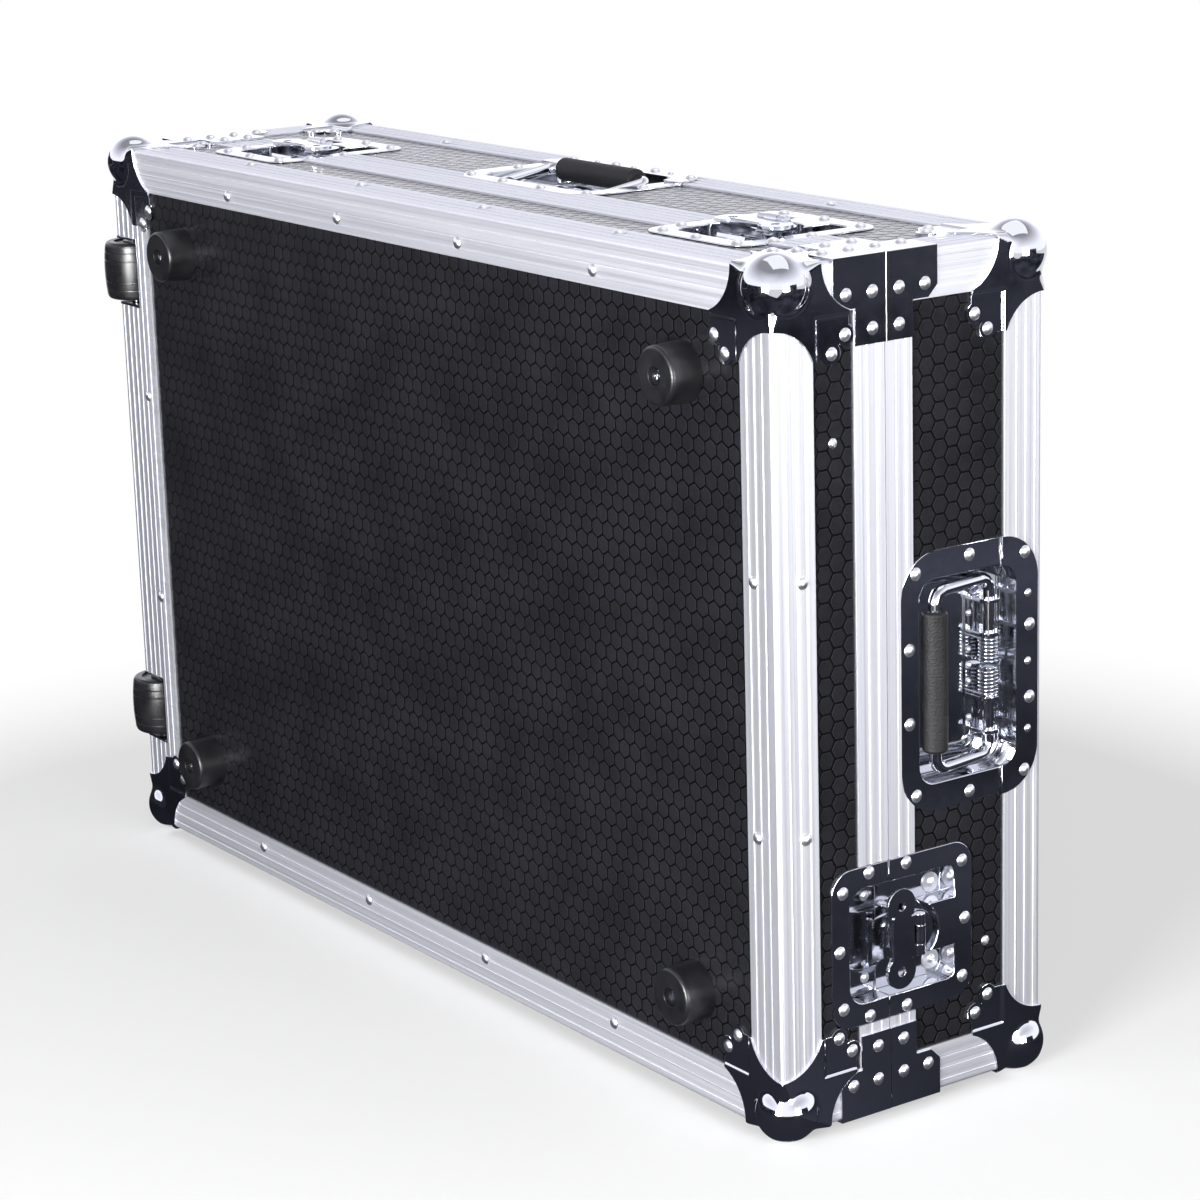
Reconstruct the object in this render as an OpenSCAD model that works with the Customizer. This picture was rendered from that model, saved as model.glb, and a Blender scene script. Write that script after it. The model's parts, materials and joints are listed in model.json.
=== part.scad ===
// Transport case for a dj controller: laminate boards in aluminium edging, a shallow tray and a deep lid.
// The case stands on its long back side, as it is parked between jobs. X is its length, Y goes from the
// face with the rubber feet to the lid's face, and Z is its width from back side to front side.
// Millimetres. The origin is under the middle of the case, on the floor.

/* [Case] */
// Length over the aluminium edging
case_l = 800; // [700:5:1000]
// Thickness from the feet face to the lid face
case_t = 205; // [200:5:260]
// Width from the back side to the front side
case_w = 526; // [480:2:640]
// Depth of the tray, from the feet face to the parting line
tray_d = 83; // [80:1:90]
// Board thickness
board = 9; // [7:0.5:10]
// Thickness of the foam lining
foam = 10; // [6:1:12]

/* [Aluminium edging] */
// Wall of the edging
alu = 1.5; // [1.2:0.1:1.5]
// Flange width of the edge angles
flange = 30; // [28:1:32]
// Flange of the wheel end's angle on the feet face
wide_flange = 49; // [44:1:52]
// Outer flange of the tray's parting profile
tray_profile = 23; // [20:1:24]
// Outer flange of the lid's parting profile
lid_profile = 20.5; // [18:0.5:21]
// Distance between two flutes
flute_pitch = 7.4; // [6:0.2:9]
// Depth of a flute
flute_depth = 0.4; // [0.2:0.1:0.6]

/* [Ball corners] */
// Radius of the ball
ball_r = 19.5; // [18:0.5:21]
// Distance of the ball's centre from each face
ball_in = 12; // [11:0.5:13]
// Radius of the cut-out round each edge profile
arch_r = 31; // [30:0.5:32]
// Distance of that cut-out's centre from the corner
arch_at = 67; // [64:1:70]

/* [Feet] */
// Radius of a rubber foot
foot_r = 19; // [16:0.5:22]
// Height of a foot over the aluminium
foot_h = 20; // [15:1:25]
// Feet at the wheel end, from the end face
foot_x_wheel_end = 102; // [90:1:110]
// Feet at the other end, from the end face
foot_x_far_end = 86; // [80:1:100]
// Feet from the front and back sides
foot_side = 70; // [64:1:90]

/* [Wheels] */
// Radius of a wheel
wheel_r = 23; // [20:0.5:24]
// Width of a wheel
wheel_w = 43; // [38:1:46]
// Wheel centre from the end face
wheel_x = 4; // [3:0.5:6]
// Wheel centre from the feet face
wheel_y = 12; // [10:0.5:13]
// Wheel centre from the front and back sides
wheel_z = 93; // [90:1:110]
// Radius of the axle
axle_r = 4; // [3.5:0.1:5]

/* [Latches] */
// Distance of the two front latches from the middle of the case
latch_x = 270; // [230:5:290]
// Height of the end latches over the back side
latch_z = 108; // [104:1:120]
// Half length of a latch along the parting line
latch_half = 50.5; // [48:0.5:52]
// Reach of the tray's half from the parting line
tray_reach = 44; // [42:0.5:46]
// Reach of the lid's half from the parting line
lid_reach = 66; // [64:0.5:68]
// Distance of the spindle from the parting line
spindle_u = 21; // [20:0.5:22]
// Turn of the spindle that draws the hook down, in degrees
hook_tilt = 14; // [12:1:15]

/* [Handles] */
// Middle of a handle's plate, from the feet face
handle_y = 147.5; // [146:0.5:148]
// Width of the plate across the case
plate_w = 107; // [105:1:108]
// Length of the plate
plate_l = 162; // [156:1:166]
// Radius of the grip
grip_r = 8; // [7:0.5:8.5]
// Length of the grip
grip_l = 88; // [80:1:92]
// Distance from the bail's hinge line to the grip
bail_reach = 49; // [46:1:50]
// Turns of each return spring
spring_turns = 6.5; // [4.5:1:6.5]

/* [Hidden] */
$fn = 64;

aluminium = [0.80, 0.81, 0.84];
laminate = [0.13, 0.13, 0.14];
chrome = [0.62, 0.64, 0.68];
rubber = [0.08, 0.08, 0.09];
foam_grey = [0.22, 0.22, 0.24];

// The board's face lies one aluminium wall under the edging, and its back is one board further in
face = -alu;
back = face - board;
// Steel plate, and the gap that is left between tray and lid
plate = 1.3;
gap = 0.25;
foam_face = back - foam;
tray_end = tray_d - gap;
lid_start = tray_d + gap;
ball_out = ball_r - ball_in;

// Edge rivets: pitch along the length and along the width, and their distance from the edge
rivet_r = 4.1;
rivet_h = 2;
edge_rivet_in = 20.5;
edge_rivet_x = [for (k = [-1.5, -0.5, 0.5, 1.5]) case_l / 2 + k * 150];
edge_rivet_z = [case_w / 2 - 78, case_w / 2 + 78];

// Dishes: floor over and under the steel, and the recesses
latch_floor = face + plate - 14;
recess_half = 36.5;
tray_recess = 30;
lid_recess = 52;
ring_r = 18.5;
bridge_half = 15.5;
keeper_side = 19;
bar_top = latch_floor + 4.7;

// Hook: hinge line, arm and lip when it is drawn down
hook_u = 9;
hook_w = bar_top + 1.3;
hook_half = 14;
lip_in = -9.6;
lip_out = -12.6;

// Wing: hinge line on top of the spindle, plate and lobes
wing_w = 3.6;
wing_t = 2.4;
lobe_v = 21;
lobe_u = -15;
lobe_r = 11;

// Handle: recess and floor, then the hinge line of the bail, whose grip lies a little under the balls
handle_floor = face + plate - 16;
handle_recess = [75, 127];
recess_shift = -1.5;
end_pivot = 21.5;
front_pivot = 31;
pivot_w = -8;
grip_w = 7.2 - grip_r;
bail_slope = asin((grip_w - pivot_w) / bail_reach);
bail_r = 4;
bail_half = 55.5;
bend_r = 8;

// The parked case: where its box starts, with the wheels, feet and balls outside the edging
low_x = min(-ball_out, wheel_x - wheel_r);
high_x = case_l + ball_out;
low_y = min(-ball_out, -foot_h);
high_y = case_t + ball_out;
module stand() translate([-(low_x + high_x) / 2, -(low_y + high_y) / 2, ball_out]) children();

// A latch or handle is drawn flat, with u over the parting line towards the lid, v along it and w outwards
module on_front(x, y) translate([x, y, case_w]) rotate([0, 0, 90]) children();
module on_right(y, z) translate([case_l, y, z]) rotate([90, 0, 90]) children();
module on_left(y, z) translate([0, y, z]) rotate([-90, 0, 90]) children();
module front_left() on_front(case_l / 2 - latch_x, tray_d) children();
module front_right() on_front(case_l / 2 + latch_x, tray_d) children();
module right_end() on_right(tray_d, latch_z) children();
module left_end() on_left(tray_d, latch_z) children();
module each_latch() {
    front_left() children();
    front_right() children();
    right_end() children();
    left_end() children();
}
module front_handle() on_front(case_l / 2, handle_y) children();
module right_handle() on_right(handle_y, case_w / 2) children();
module left_handle() on_left(handle_y, case_w / 2) children();
module each_handle() {
    front_handle() children();
    right_handle() children();
    left_handle() children();
}
// Hinge lines of the bails. The front bail's grip lies towards the lid and those of the ends towards the tray
module front_pivot_line() front_handle() translate([-front_pivot, 0, pivot_w]) rotate([0, 0, 180]) children();
module right_pivot_line() right_handle() translate([end_pivot, 0, pivot_w]) children();
module left_pivot_line() left_handle() translate([end_pivot, 0, pivot_w]) children();
module each_pivot_line() {
    front_pivot_line() children();
    right_pivot_line() children();
    left_pivot_line() children();
}
// A corner piece is drawn with the case in its positive octant
module at_corner(cx, cy, cz)
    translate([cx * case_l, cy * case_t, cz * case_w])
        mirror([cx, 0, 0]) mirror([0, cy, 0]) mirror([0, 0, cz]) children();
module four_corners(cy) for (cx = [0, 1], cz = [0, 1]) at_corner(cx, cy, cz) children();
// The three faces of a corner, each with its own u and v and with w outwards
module three_faces() {
    mirror([0, 0, 1]) children();
    rotate([90, 0, 90]) mirror([0, 0, 1]) children();
    rotate([90, 0, 90]) rotate([90, 0, 90]) mirror([0, 0, 1]) children();
}

module rounded(size, r) {
    x = size[0] / 2;
    y = size[1] / 2;
    square([size[0], size[1] - 2 * r], center = true);
    square([size[0] - 2 * r, size[1]], center = true);
    for (i = [-1, 1], j = [-1, 1]) translate([i * (x - r), j * (y - r)]) circle(r);
}
module rivet(r = rivet_r, h = rivet_h) {
    dome = (r * r + h * h) / (2 * h);
    rotate_extrude() intersection() {
        translate([0, h - dome]) circle(dome);
        square([r + 1, h]);
    }
}
// A slab between two corners given by their coordinates
module slab(a, b) translate(a) cube(b - a);

// Flutes run along the length of the extrusion, as rows across its section
function flute_count(width) = floor((width - 3) / flute_pitch);
module flutes(width) {
    count = flute_count(width);
    first = (width - (count - 1) * flute_pitch) / 2;
    for (i = [0:count - 1])
        translate([first + i * flute_pitch - flute_pitch / 4, -1]) square([flute_pitch / 2, 1 + flute_depth]);
}
module angle_section(a, b) {
    bend = 2.5;
    difference() {
        union() {
            square([a, alu]);
            square([alu, b]);
        }
        difference() {
            translate([-1, -1]) square(1 + bend);
            translate([bend, bend]) circle(bend);
        }
        flutes(a);
        mirror([1, -1]) flutes(b);
    }
}
// Angles along X and along Z, drawn from the case's corner with their flanges inwards
module angle_bar(from, to, a = flange) translate([0, 0, from]) linear_extrude(to - from)
    angle_section(a, flange);
module angle_x(x0, x1) rotate([90, 0, 90]) angle_bar(x0, x1);
module angle_z(z0, z1, a = flange) angle_bar(z0, z1, a);
module angle_y(y0, y1) rotate([90, 0, 0]) angle_bar(-y1, -y0);

angle_end = 32;
module edge_angles(cy, y0, y1, ends) {
    for (cz = [0, 1]) at_corner(0, cy, cz) angle_x(angle_end, case_l - angle_end);
    for (cx = ends) at_corner(cx, cy, 0) angle_z(angle_end, case_w - angle_end);
    for (cx = [0, 1], cz = [0, 1]) at_corner(cx, 0, cz) angle_y(y0, y1);
}

// The pockets that latches, handles and wheels need in boards, edging and foam
module latch_pocket(u0, u1, clear = 0.2) slab(
    [u0, -recess_half - plate - clear, latch_floor - plate - clear],
    [u1, recess_half + plate + clear, 20]);
module latch_pockets(clear = 0.2)
    each_latch() latch_pocket(-tray_recess - plate - clear, lid_recess + plate + clear, clear);
cup_corner = 12;
module handle_pockets(clear = 0.2) each_handle() translate([recess_shift, 0, handle_floor - plate - clear])
    linear_extrude(40) rounded(handle_recess + 2 * (plate + clear) * [1, 1], cup_corner + plate + clear);
// Only the profile at the parting line is cut to the outline of a handle's plate
module handle_plate_clearance() each_handle() translate([0, 0, -alu - 0.01]) linear_extrude(20) rounded(
    [plate_w + 0.6, plate_l + 0.6], 28);

well_x = wheel_x + wheel_r + 3.5;
well_y = wheel_y + wheel_r + 3.5;
well_half = wheel_w / 2 + 4.5;
cheek = 2;
module at_wheels() for (z = [wheel_z, case_w - wheel_z]) translate([0, 0, z]) children();
module wheel_wells(clear = 0.1) at_wheels()
    slab([-9, -9, -well_half - clear], [well_x + clear, well_y + clear, well_half + clear]);

// Boards of the tray
module tray_board() color(laminate) difference() {
    slab([alu, alu, alu], [case_l - alu, alu + board, case_w - alu]);
    wheel_wells();
}
// The tray's walls end under the groove and the lid's start over the web
tongue = 2.4;
tray_wall_end = tray_end - tongue - 1.2;
lid_wall_start = lid_start + alu;
module tray_front_wall() color(laminate) difference() {
    slab([alu, alu + board, case_w + back], [case_l - alu, tray_wall_end, case_w - alu]);
    latch_pockets();
}
module tray_back_wall() color(laminate)
    slab([alu, alu + board, alu], [case_l - alu, tray_wall_end, -back]);
module tray_end_wall(x0) slab([x0, alu + board, -back], [x0 + board, tray_wall_end, case_w + back]);
module tray_right_wall() color(laminate) difference() {
    tray_end_wall(case_l + back);
    latch_pockets();
}
module tray_left_wall() color(laminate) difference() {
    tray_end_wall(alu);
    latch_pockets();
    wheel_wells();
}

// Edging of the tray
module tray_edge_angles() color(aluminium) edge_angles(0, angle_end, tray_d - tray_profile, [1]);
module wheel_end_angle() color(aluminium) difference() {
    angle_z(angle_end, case_w - angle_end, wide_flange);
    four_corners(0) rotate([90, 0, 90]) rotate([90, 0, 90]) translate([0, 0, -9]) linear_extrude(20)
        intersection() {
            corner_outline(0.3);
            translate([flange, flange]) square(60);
        }
    wheel_wells();
}
// Parting profile: outer flange, web over the edge of the board and inner flange, with a groove or a tongue
inner_flange = 12;
module profile_section(reach, grooved) {
    web = -back + plate;
    difference() {
        union() {
            square([reach, alu]);
            square([alu, web]);
            translate([0, -back]) square([inner_flange, plate]);
            if (!grooved) translate([-tongue, alu + board / 2 - 1.2]) square([tongue + 0.1, 2.4]);
            if (grooved) translate([0, alu + board / 2 - 2.7]) square([tongue + 1.2, 5.4]);
        }
        if (grooved) translate([-0.1, alu + board / 2 - 1.5]) square([tongue + 0.3, 3]);
        flutes(reach);
    }
}
// One straight side of the profile along the front face, from v0 to v1
module profile_side(v0, v1, reach, grooved) translate([0, v0, 0]) mirror([1, 0, 0]) rotate([-90, 0, 0])
    linear_extrude(v1 - v0) profile_section(reach, grooved);
module profile_frame(reach, grooved) {
    corner = -back + plate;
    translate([case_l / 2, 0, case_w]) rotate([0, 0, 90])
        profile_side(-case_l / 2, case_l / 2, reach, grooved);
    translate([case_l / 2, 0, 0]) rotate([0, 180, 0]) rotate([0, 0, 90])
        profile_side(-case_l / 2, case_l / 2, reach, grooved);
    on_right(0, case_w / 2) profile_side(corner - case_w / 2, case_w / 2 - corner, reach, grooved);
    on_left(0, case_w / 2) profile_side(corner - case_w / 2, case_w / 2 - corner, reach, grooved);
}
module latch_cuts() each_latch() slab([-200, -latch_half - 0.3, -30], [200, latch_half + 0.3, 20]);
module tray_parting_profile() color(aluminium) difference() {
    translate([0, tray_end, 0]) profile_frame(tray_profile - gap, true);
    tray_end_wall(alu);
    tray_end_wall(case_l + back);
    latch_cuts();
}
module lid_parting_profile() color(aluminium) difference() {
    translate([0, lid_start, 0]) mirror([0, 1, 0]) profile_frame(lid_profile - gap, false);
    lid_end_wall(alu);
    lid_end_wall(case_l + back);
    latch_cuts();
    handle_plate_clearance();
}

// Ball corners: a ball with a skirt on three plates, each cut out round the two edge profiles that it joins
lobe_far = 53.5;
lobe_near = 43.5;
ear_r = 6.5;
corner_plate = 1.4;
module corner_outline(grow = 0) difference() {
    union() {
        polygon([[-corner_plate, -corner_plate], [lobe_far + 3 + grow, -corner_plate],
            [lobe_far + 3 + grow, lobe_near - 3 + grow], [lobe_near - 3 + grow, lobe_far + 3 + grow],
            [-corner_plate, lobe_far + 3 + grow]]);
        translate([lobe_near, lobe_far]) circle(ear_r + grow);
        translate([lobe_far, lobe_near]) circle(ear_r + grow);
    }
    translate([arch_at, 0]) circle(arch_r - grow);
    translate([0, arch_at]) circle(arch_r - grow);
}
// The plate steps down from the edging to the board
step = 2.7;
lobe_top = 0.2;
module corner_plates() three_faces() {
    linear_extrude(corner_plate) difference() {
        corner_outline();
        translate((flange + 0.3 + step) * [1, 1]) square(60);
    }
    translate([0, 0, face]) linear_extrude(lobe_top - face) intersection() {
        corner_outline();
        translate((flange + 0.3) * [1, 1]) square(60);
    }
    translate([0, 0, face]) linear_extrude(corner_plate - face) difference() {
        intersection() {
            corner_outline();
            translate((flange + 0.3) * [1, 1]) square(60);
        }
        translate((flange + 0.3 + step) * [1, 1]) square(60);
    }
    intersection() {
        translate([ball_in, ball_in, corner_plate]) cylinder(r1 = ball_r + 1, r2 = ball_r - 3.5, h = 3);
        translate(-corner_plate * [1, 1, 0]) cube(60);
    }
}
module ball_corner() {
    corner_plates();
    difference() {
        translate(ball_in * [1, 1, 1]) sphere(ball_r);
        cube(60);
    }
}
module tray_ball_corners() color(chrome) four_corners(0) ball_corner();
module lid_ball_corners() color(chrome) four_corners(1) ball_corner();
module corner_rivets() three_faces() translate([0, 0, lobe_top]) {
    translate([lobe_near, lobe_far]) rivet();
    translate([lobe_far, lobe_near]) rivet();
}

// Braces bent round the ends of the parting line: u over the line, v down from the case's edge
brace_low = 51;
brace_high = 29;
brace_reach = 39;
brace_rivets = [[10, 20.5], [29.5, 20.5], [10, 42]];
module brace_outline(reach) {
    translate([gap, -plate]) square([reach - 0.2 - gap, brace_low + plate]);
    difference() {
        translate([gap, -plate]) square([brace_reach - gap, brace_high + plate]);
        translate([brace_reach, brace_high]) rotate(45) square([9.9, 15], center = true);
    }
}
// The two faces next to an edge that runs along Y
module two_faces() {
    rotate([180, 0, 90]) children();
    rotate([90, 0, 90]) mirror([0, 0, 1]) children();
}
module tray_brace() two_faces() linear_extrude(plate) intersection() {
    brace_outline(tray_profile);
    union() {
        translate([0, -9]) square([tray_d - ear_r - lobe_far - 0.3, 99]);
        translate([tray_d - arch_at, 0]) circle(arch_r - 0.3);
    }
}
module lid_brace() two_faces() linear_extrude(plate) brace_outline(lid_profile);
module at_brace() for (cx = [0, 1], cz = [0, 1])
    translate([cx * case_l, tray_d, cz * case_w]) mirror([cx, 0, 0]) mirror([0, 0, cz]) children();
module tray_corner_braces() color(chrome) at_brace() mirror([0, 1, 0]) tray_brace();
module lid_corner_braces() color(chrome) at_brace() lid_brace();
module brace_rivet_set() two_faces() for (p = brace_rivets) translate([p[0], p[1], plate]) rivet();

// Rivets along the edging of one big face, and those on the sides next to it
module edge_rivets(cy, left_in) {
    for (cz = [0, 1], x = edge_rivet_x) at_corner(0, cy, cz) {
        translate([x, 0, edge_rivet_in]) rotate([90, 0, 0]) rivet();
        // The front handle's plate takes the place of two
        if (cy + cz < 2 || abs(x - case_l / 2) > plate_l / 2 + rivet_r)
            translate([x, edge_rivet_in, 0]) mirror([0, 0, 1]) rivet();
    }
    for (z = edge_rivet_z) {
        at_corner(0, cy, 0) translate([left_in, 0, z]) rotate([90, 0, 0]) rivet();
        at_corner(1, cy, 0) translate([edge_rivet_in, 0, z]) rotate([90, 0, 0]) rivet();
    }
}
tray_latch_rivets = [[-15, 45.8], [-35.3, 37], [-38, 0], [-35.3, -37], [-15, -45.8]];
lid_latch_rivets = [[14, 45.8], [58.2, 37.5], [60.3, 0], [58.2, -37.5], [14, -45.8]];
window_rivets = [[44, 23], [44, -27]];
keeper_rivets = [[-9, 26.5], [-9, -26.5]];
handle_rivets = [
    for (s = [-1, 1]) each [[-42, s * 69], [0, s * 74.2], [43, s * 69], [-47, s * 23], [47, s * 23]]];
handle_small_rivets = [[45.5, -43], [45.5, 0], [45.5, 43]];
// Two small screws in the boards of the far end, as distances over the parting line and over the floor
tray_end_screw = [-38.2, 419.9];
lid_end_screw = [78, 88.4];
module end_screw(p) on_right(tray_d + p[0], p[1]) translate([0, 0, face]) difference() {
    rivet(3.2, 1.4);
    translate([0, 0, 1.6]) for (a = [20, 110]) rotate(a) cube([3.6, 0.7, 1.4], center = true);
}
module tray_rivets() color(chrome) {
    edge_rivets(0, wide_flange - 14);
    for (cx = [0, 1], z = edge_rivet_z) at_corner(cx, 0, 0) translate([0, edge_rivet_in, z])
        rotate([0, -90, 0]) rivet();
    four_corners(0) corner_rivets();
    at_brace() mirror([0, 1, 0]) brace_rivet_set();
    end_screw(tray_end_screw);
    each_latch() {
        for (p = tray_latch_rivets) translate([p[0], p[1], face + plate]) rivet();
        for (p = keeper_rivets) translate([p[0], p[1], latch_floor + plate]) rivet(3.4, 1.6);
    }
}
module lid_rivets() color(chrome) {
    edge_rivets(1, edge_rivet_in);
    four_corners(1) corner_rivets();
    at_brace() brace_rivet_set();
    end_screw(lid_end_screw);
    each_latch() {
        for (p = lid_latch_rivets) translate([p[0], p[1], face + plate]) rivet();
        for (p = window_rivets) translate([p[0], p[1], latch_floor]) {
            rivet(3.6, 2.6);
            cylinder(r = 6.2, h = 0.9);
        }
    }
    each_handle() {
        for (p = handle_rivets) translate([p[0], p[1], plate_top(p[0])]) rivet();
        for (p = handle_small_rivets) translate([p[0], p[1], plate_top(p[0])]) rivet(2.6, 1.4);
    }
    each_pivot_line() for (s = [-1, 1], v = bracket_rivets) if (s > 0 || v > 0)
        translate([-bracket_rivet_in, s * v, floor_w + plate]) rivet(2.2, 1.4);
}

// Rubber feet with a countersunk screw and a washer
screw_seat = foot_h - 6;
module at_feet() for (x = [foot_x_wheel_end, case_l - foot_x_far_end], z = [foot_side, case_w - foot_side])
    translate([x, 0, z]) rotate([90, 0, 0]) children();
foot_edge = 2.5;
foot_front_r = foot_r - 0.8;
module rubber_feet() color(rubber) at_feet() rotate_extrude() difference() {
    union() {
        polygon([[0, face], [foot_r, face], [foot_front_r, foot_h - foot_edge], [0, foot_h - foot_edge]]);
        square([foot_front_r - foot_edge, foot_h]);
        translate([foot_front_r - foot_edge, foot_h - foot_edge]) circle(foot_edge);
    }
    translate([0, face - 1]) square([2.5, foot_h]);
    translate([0, screw_seat]) square([6, foot_h]);
}
module foot_screws() color(chrome) at_feet() {
    translate([0, 0, screw_seat]) difference() {
        cylinder(r = 5.8, h = 1.2);
        translate([0, 0, -1]) cylinder(r = 2.5, h = 3);
    }
    translate([0, 0, face]) cylinder(r = 2.5, h = screw_seat - face + 1.2);
    translate([0, 0, screw_seat + 1.2]) difference() {
        cylinder(r1 = 4.4, r2 = 3.2, h = 2.4);
        translate([0, 0, 1.6]) for (a = [0, 90]) rotate(a) cube([4.6, 1.1, 2], center = true);
    }
}

// Wheels, each in a steel well that is let into the edge, on an axle between its cheeks
module wheel_brackets() color(chrome) at_wheels() {
    for (z = [-well_half, well_half - cheek]) translate([0, 0, z]) linear_extrude(cheek) difference() {
        union() {
            square([well_x, well_y]);
            translate([wheel_x, wheel_y]) circle(axle_r + 4);
        }
        translate([wheel_x, wheel_y]) circle(axle_r);
    }
    slab([well_x - plate, 0, cheek - well_half], [well_x, well_y, well_half - cheek]);
    slab([0, well_y - plate, cheek - well_half], [well_x - plate, well_y, well_half - cheek]);
}
module wheel_axles() color(chrome) at_wheels() translate([wheel_x, wheel_y, -well_half])
    cylinder(r = axle_r, h = 2 * well_half);
tread_r = 140;
module wheel() difference() {
    rotate_extrude() difference() {
        intersection() {
            translate([0, -wheel_w / 2]) square([wheel_r, wheel_w]);
            // The tread is a barrel, so the wheel rolls over the edge of a step
            translate([wheel_r - tread_r, 0]) circle(tread_r, $fn = 360);
            union() {
                translate([0, 3 - wheel_w / 2]) square([wheel_r, wheel_w - 6]);
                translate([0, -wheel_w / 2]) square([wheel_r - 4.5, wheel_w]);
                for (s = [-1, 1]) translate([wheel_r - 4.5, s * (wheel_w / 2 - 3)]) circle(3);
            }
        }
        for (z = [-14, -8, 8, 14]) translate([wheel_r - 1, z - 0.5]) square([2, 1]);
    }
    translate([0, 0, -wheel_w]) cylinder(r = axle_r + 0.05, h = 2 * wheel_w);
    for (s = [-1, 1]) translate([0, 0, s * wheel_w / 2]) rotate_extrude() translate([8, -1.5]) square([7, 3]);
}
module upper_wheel() color(rubber) translate([wheel_x, wheel_y, case_w - wheel_z]) wheel();
module lower_wheel() color(rubber) translate([wheel_x, wheel_y, wheel_z]) wheel();

// Tray half of a latch: a pressed dish, open to the lid, with a keeper that the hook draws against
module dish_half(reach, recess, corner) {
    translate([0, 0, face]) linear_extrude(plate) difference() {
        intersection() {
            rounded([2 * reach, 2 * latch_half], 15);
            translate([gap, -99]) square([99, 198]);
        }
        intersection() {
            rounded([2 * recess, 2 * recess_half], corner);
            translate([-1, -99]) square([99, 198]);
        }
    }
    intersection() {
        difference() {
            translate([0, 0, latch_floor - plate]) linear_extrude(face + plate - latch_floor)
                rounded([2 * (recess + plate), 2 * (recess_half + plate)], corner + plate);
            translate([0, 0, latch_floor]) linear_extrude(30) rounded([2 * recess, 2 * recess_half], corner);
        }
        slab([gap, -99, -99], [99, 99, 99]);
    }
}
module tray_latch_dishes() color(chrome) each_latch() mirror([1, 0, 0])
    dish_half(tray_reach, tray_recess, 12);
module latch_keepers() color(chrome) each_latch() translate([0, 0, latch_floor]) {
    translate([-11.5, 0, 0]) linear_extrude(plate) rounded([21, 66], 5);
    for (s = [-1, 1]) translate([0, s * (keeper_side - plate / 2), 0]) rotate([90, 0, 0])
        translate([0, 0, -plate / 2]) linear_extrude(plate)
            polygon([[-21, plate / 2], [-2, plate / 2], [-2, 5.2], [-4, 6.2], [-17, 6.2], [-21, 2.6]]);
    translate([-7.2, 0, 0]) rotate([90, 0, 0]) translate([0, 0, plate - keeper_side])
        linear_extrude(2 * (keeper_side - plate)) difference() {
            translate([-2, 0]) square([4, bar_top - latch_floor]);
            translate([-3, bar_top - latch_floor - 0.8]) square([1.4, 2]);
        }
}

// Lid half: the dish has a pressed-up bridge round the well of the spindle, and two lugs for the hook's pin
module bridge_outline(inset) difference() {
    translate([spindle_u, inset - bridge_half])
        square([lid_recess - spindle_u + 0.4, 2 * (bridge_half - inset)]);
    translate([spindle_u, 0]) circle(ring_r + inset);
}
stub_r = 4;
pin_r = 1.6;
module lid_latch_dish() {
    difference() {
        union() {
            dish_half(lid_reach, lid_recess, 6);
            translate([0, 0, latch_floor - plate])
                linear_extrude(face + 2 * plate - latch_floor) bridge_outline(0);
            for (s = [-1, 1]) translate([hook_u, s * (hook_half + 1.5), latch_floor - plate / 2]) {
                slab([-3, -1.1, 0], [3, 1.1, hook_w - latch_floor + plate / 2]);
                translate([0, 0, hook_w - latch_floor + plate / 2]) rotate([90, 0, 0])
                    cylinder(r = 3, h = 2.2, center = true);
            }
        }
        translate([0, 0, latch_floor - plate - 1]) linear_extrude(face - latch_floor + plate + 1)
            intersection() {
                bridge_outline(plate);
                translate([0, -50]) square([lid_recess, 100]);
            }
        translate([spindle_u, 0, latch_floor - plate - 1]) cylinder(r = stub_r + 0.05, h = 5);
        translate([hook_u, 0, hook_w]) rotate([90, 0, 0]) cylinder(r = pin_r + 0.04, h = 60, center = true);
    }
}
module lid_latch_dishes() color(chrome) each_latch() lid_latch_dish();

// Hook: an arm on a cross pin, with a lip that drops behind the keeper's bar. It is drawn in its drawn-down
// place and tilted up to the place where it lets the lid go
module hook_shape() translate([hook_u, 0, hook_w]) rotate([0, hook_tilt, 0])
    translate([-hook_u, 0, -hook_w]) {
        difference() {
            slab([lip_out, -hook_half, bar_top + 0.3], [hook_u, hook_half, bar_top + 2.3]);
            slab([-5, -7, -99], [3, 7, 99]);
        }
        slab([lip_out, -hook_half, bar_top - 3], [lip_in, hook_half, bar_top + 2.3]);
        translate([hook_u, 0, hook_w]) rotate([90, 0, 0]) {
            cylinder(r = 2.4, h = 2 * hook_half, center = true);
            cylinder(r = pin_r, h = 2 * hook_half + 4.8, center = true);
        }
    }

// Spindle: stub in the dish's floor, stem, cam disc and a post that carries the wing
post_half = 6;
post_round = wing_w + 0.3;
disc_top = -0.4;
module spindle_shape() translate([spindle_u, 0, 0]) difference() {
    union() {
        translate([0, 0, latch_floor - plate]) cylinder(r = stub_r, h = plate + 1);
        translate([0, 0, latch_floor + 0.3]) cylinder(r = 7, h = -5 - latch_floor);
        translate([0, 0, -5]) cylinder(r = 7, h = disc_top + 3);
        translate([0, 0, disc_top - 2]) cylinder(r = 14, h = 2);
        translate([0, 0, disc_top - 0.1]) linear_extrude(post_round - disc_top + 0.1)
            square([7, 2 * post_half], center = true);
        translate([0, 0, post_round]) rotate([90, 0, 0]) cylinder(r = 3.5, h = 2 * post_half, center = true);
    }
    translate([0, 0, wing_w]) rotate([90, 0, 0]) cylinder(r = 2.05, h = 40, center = true);
}
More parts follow.
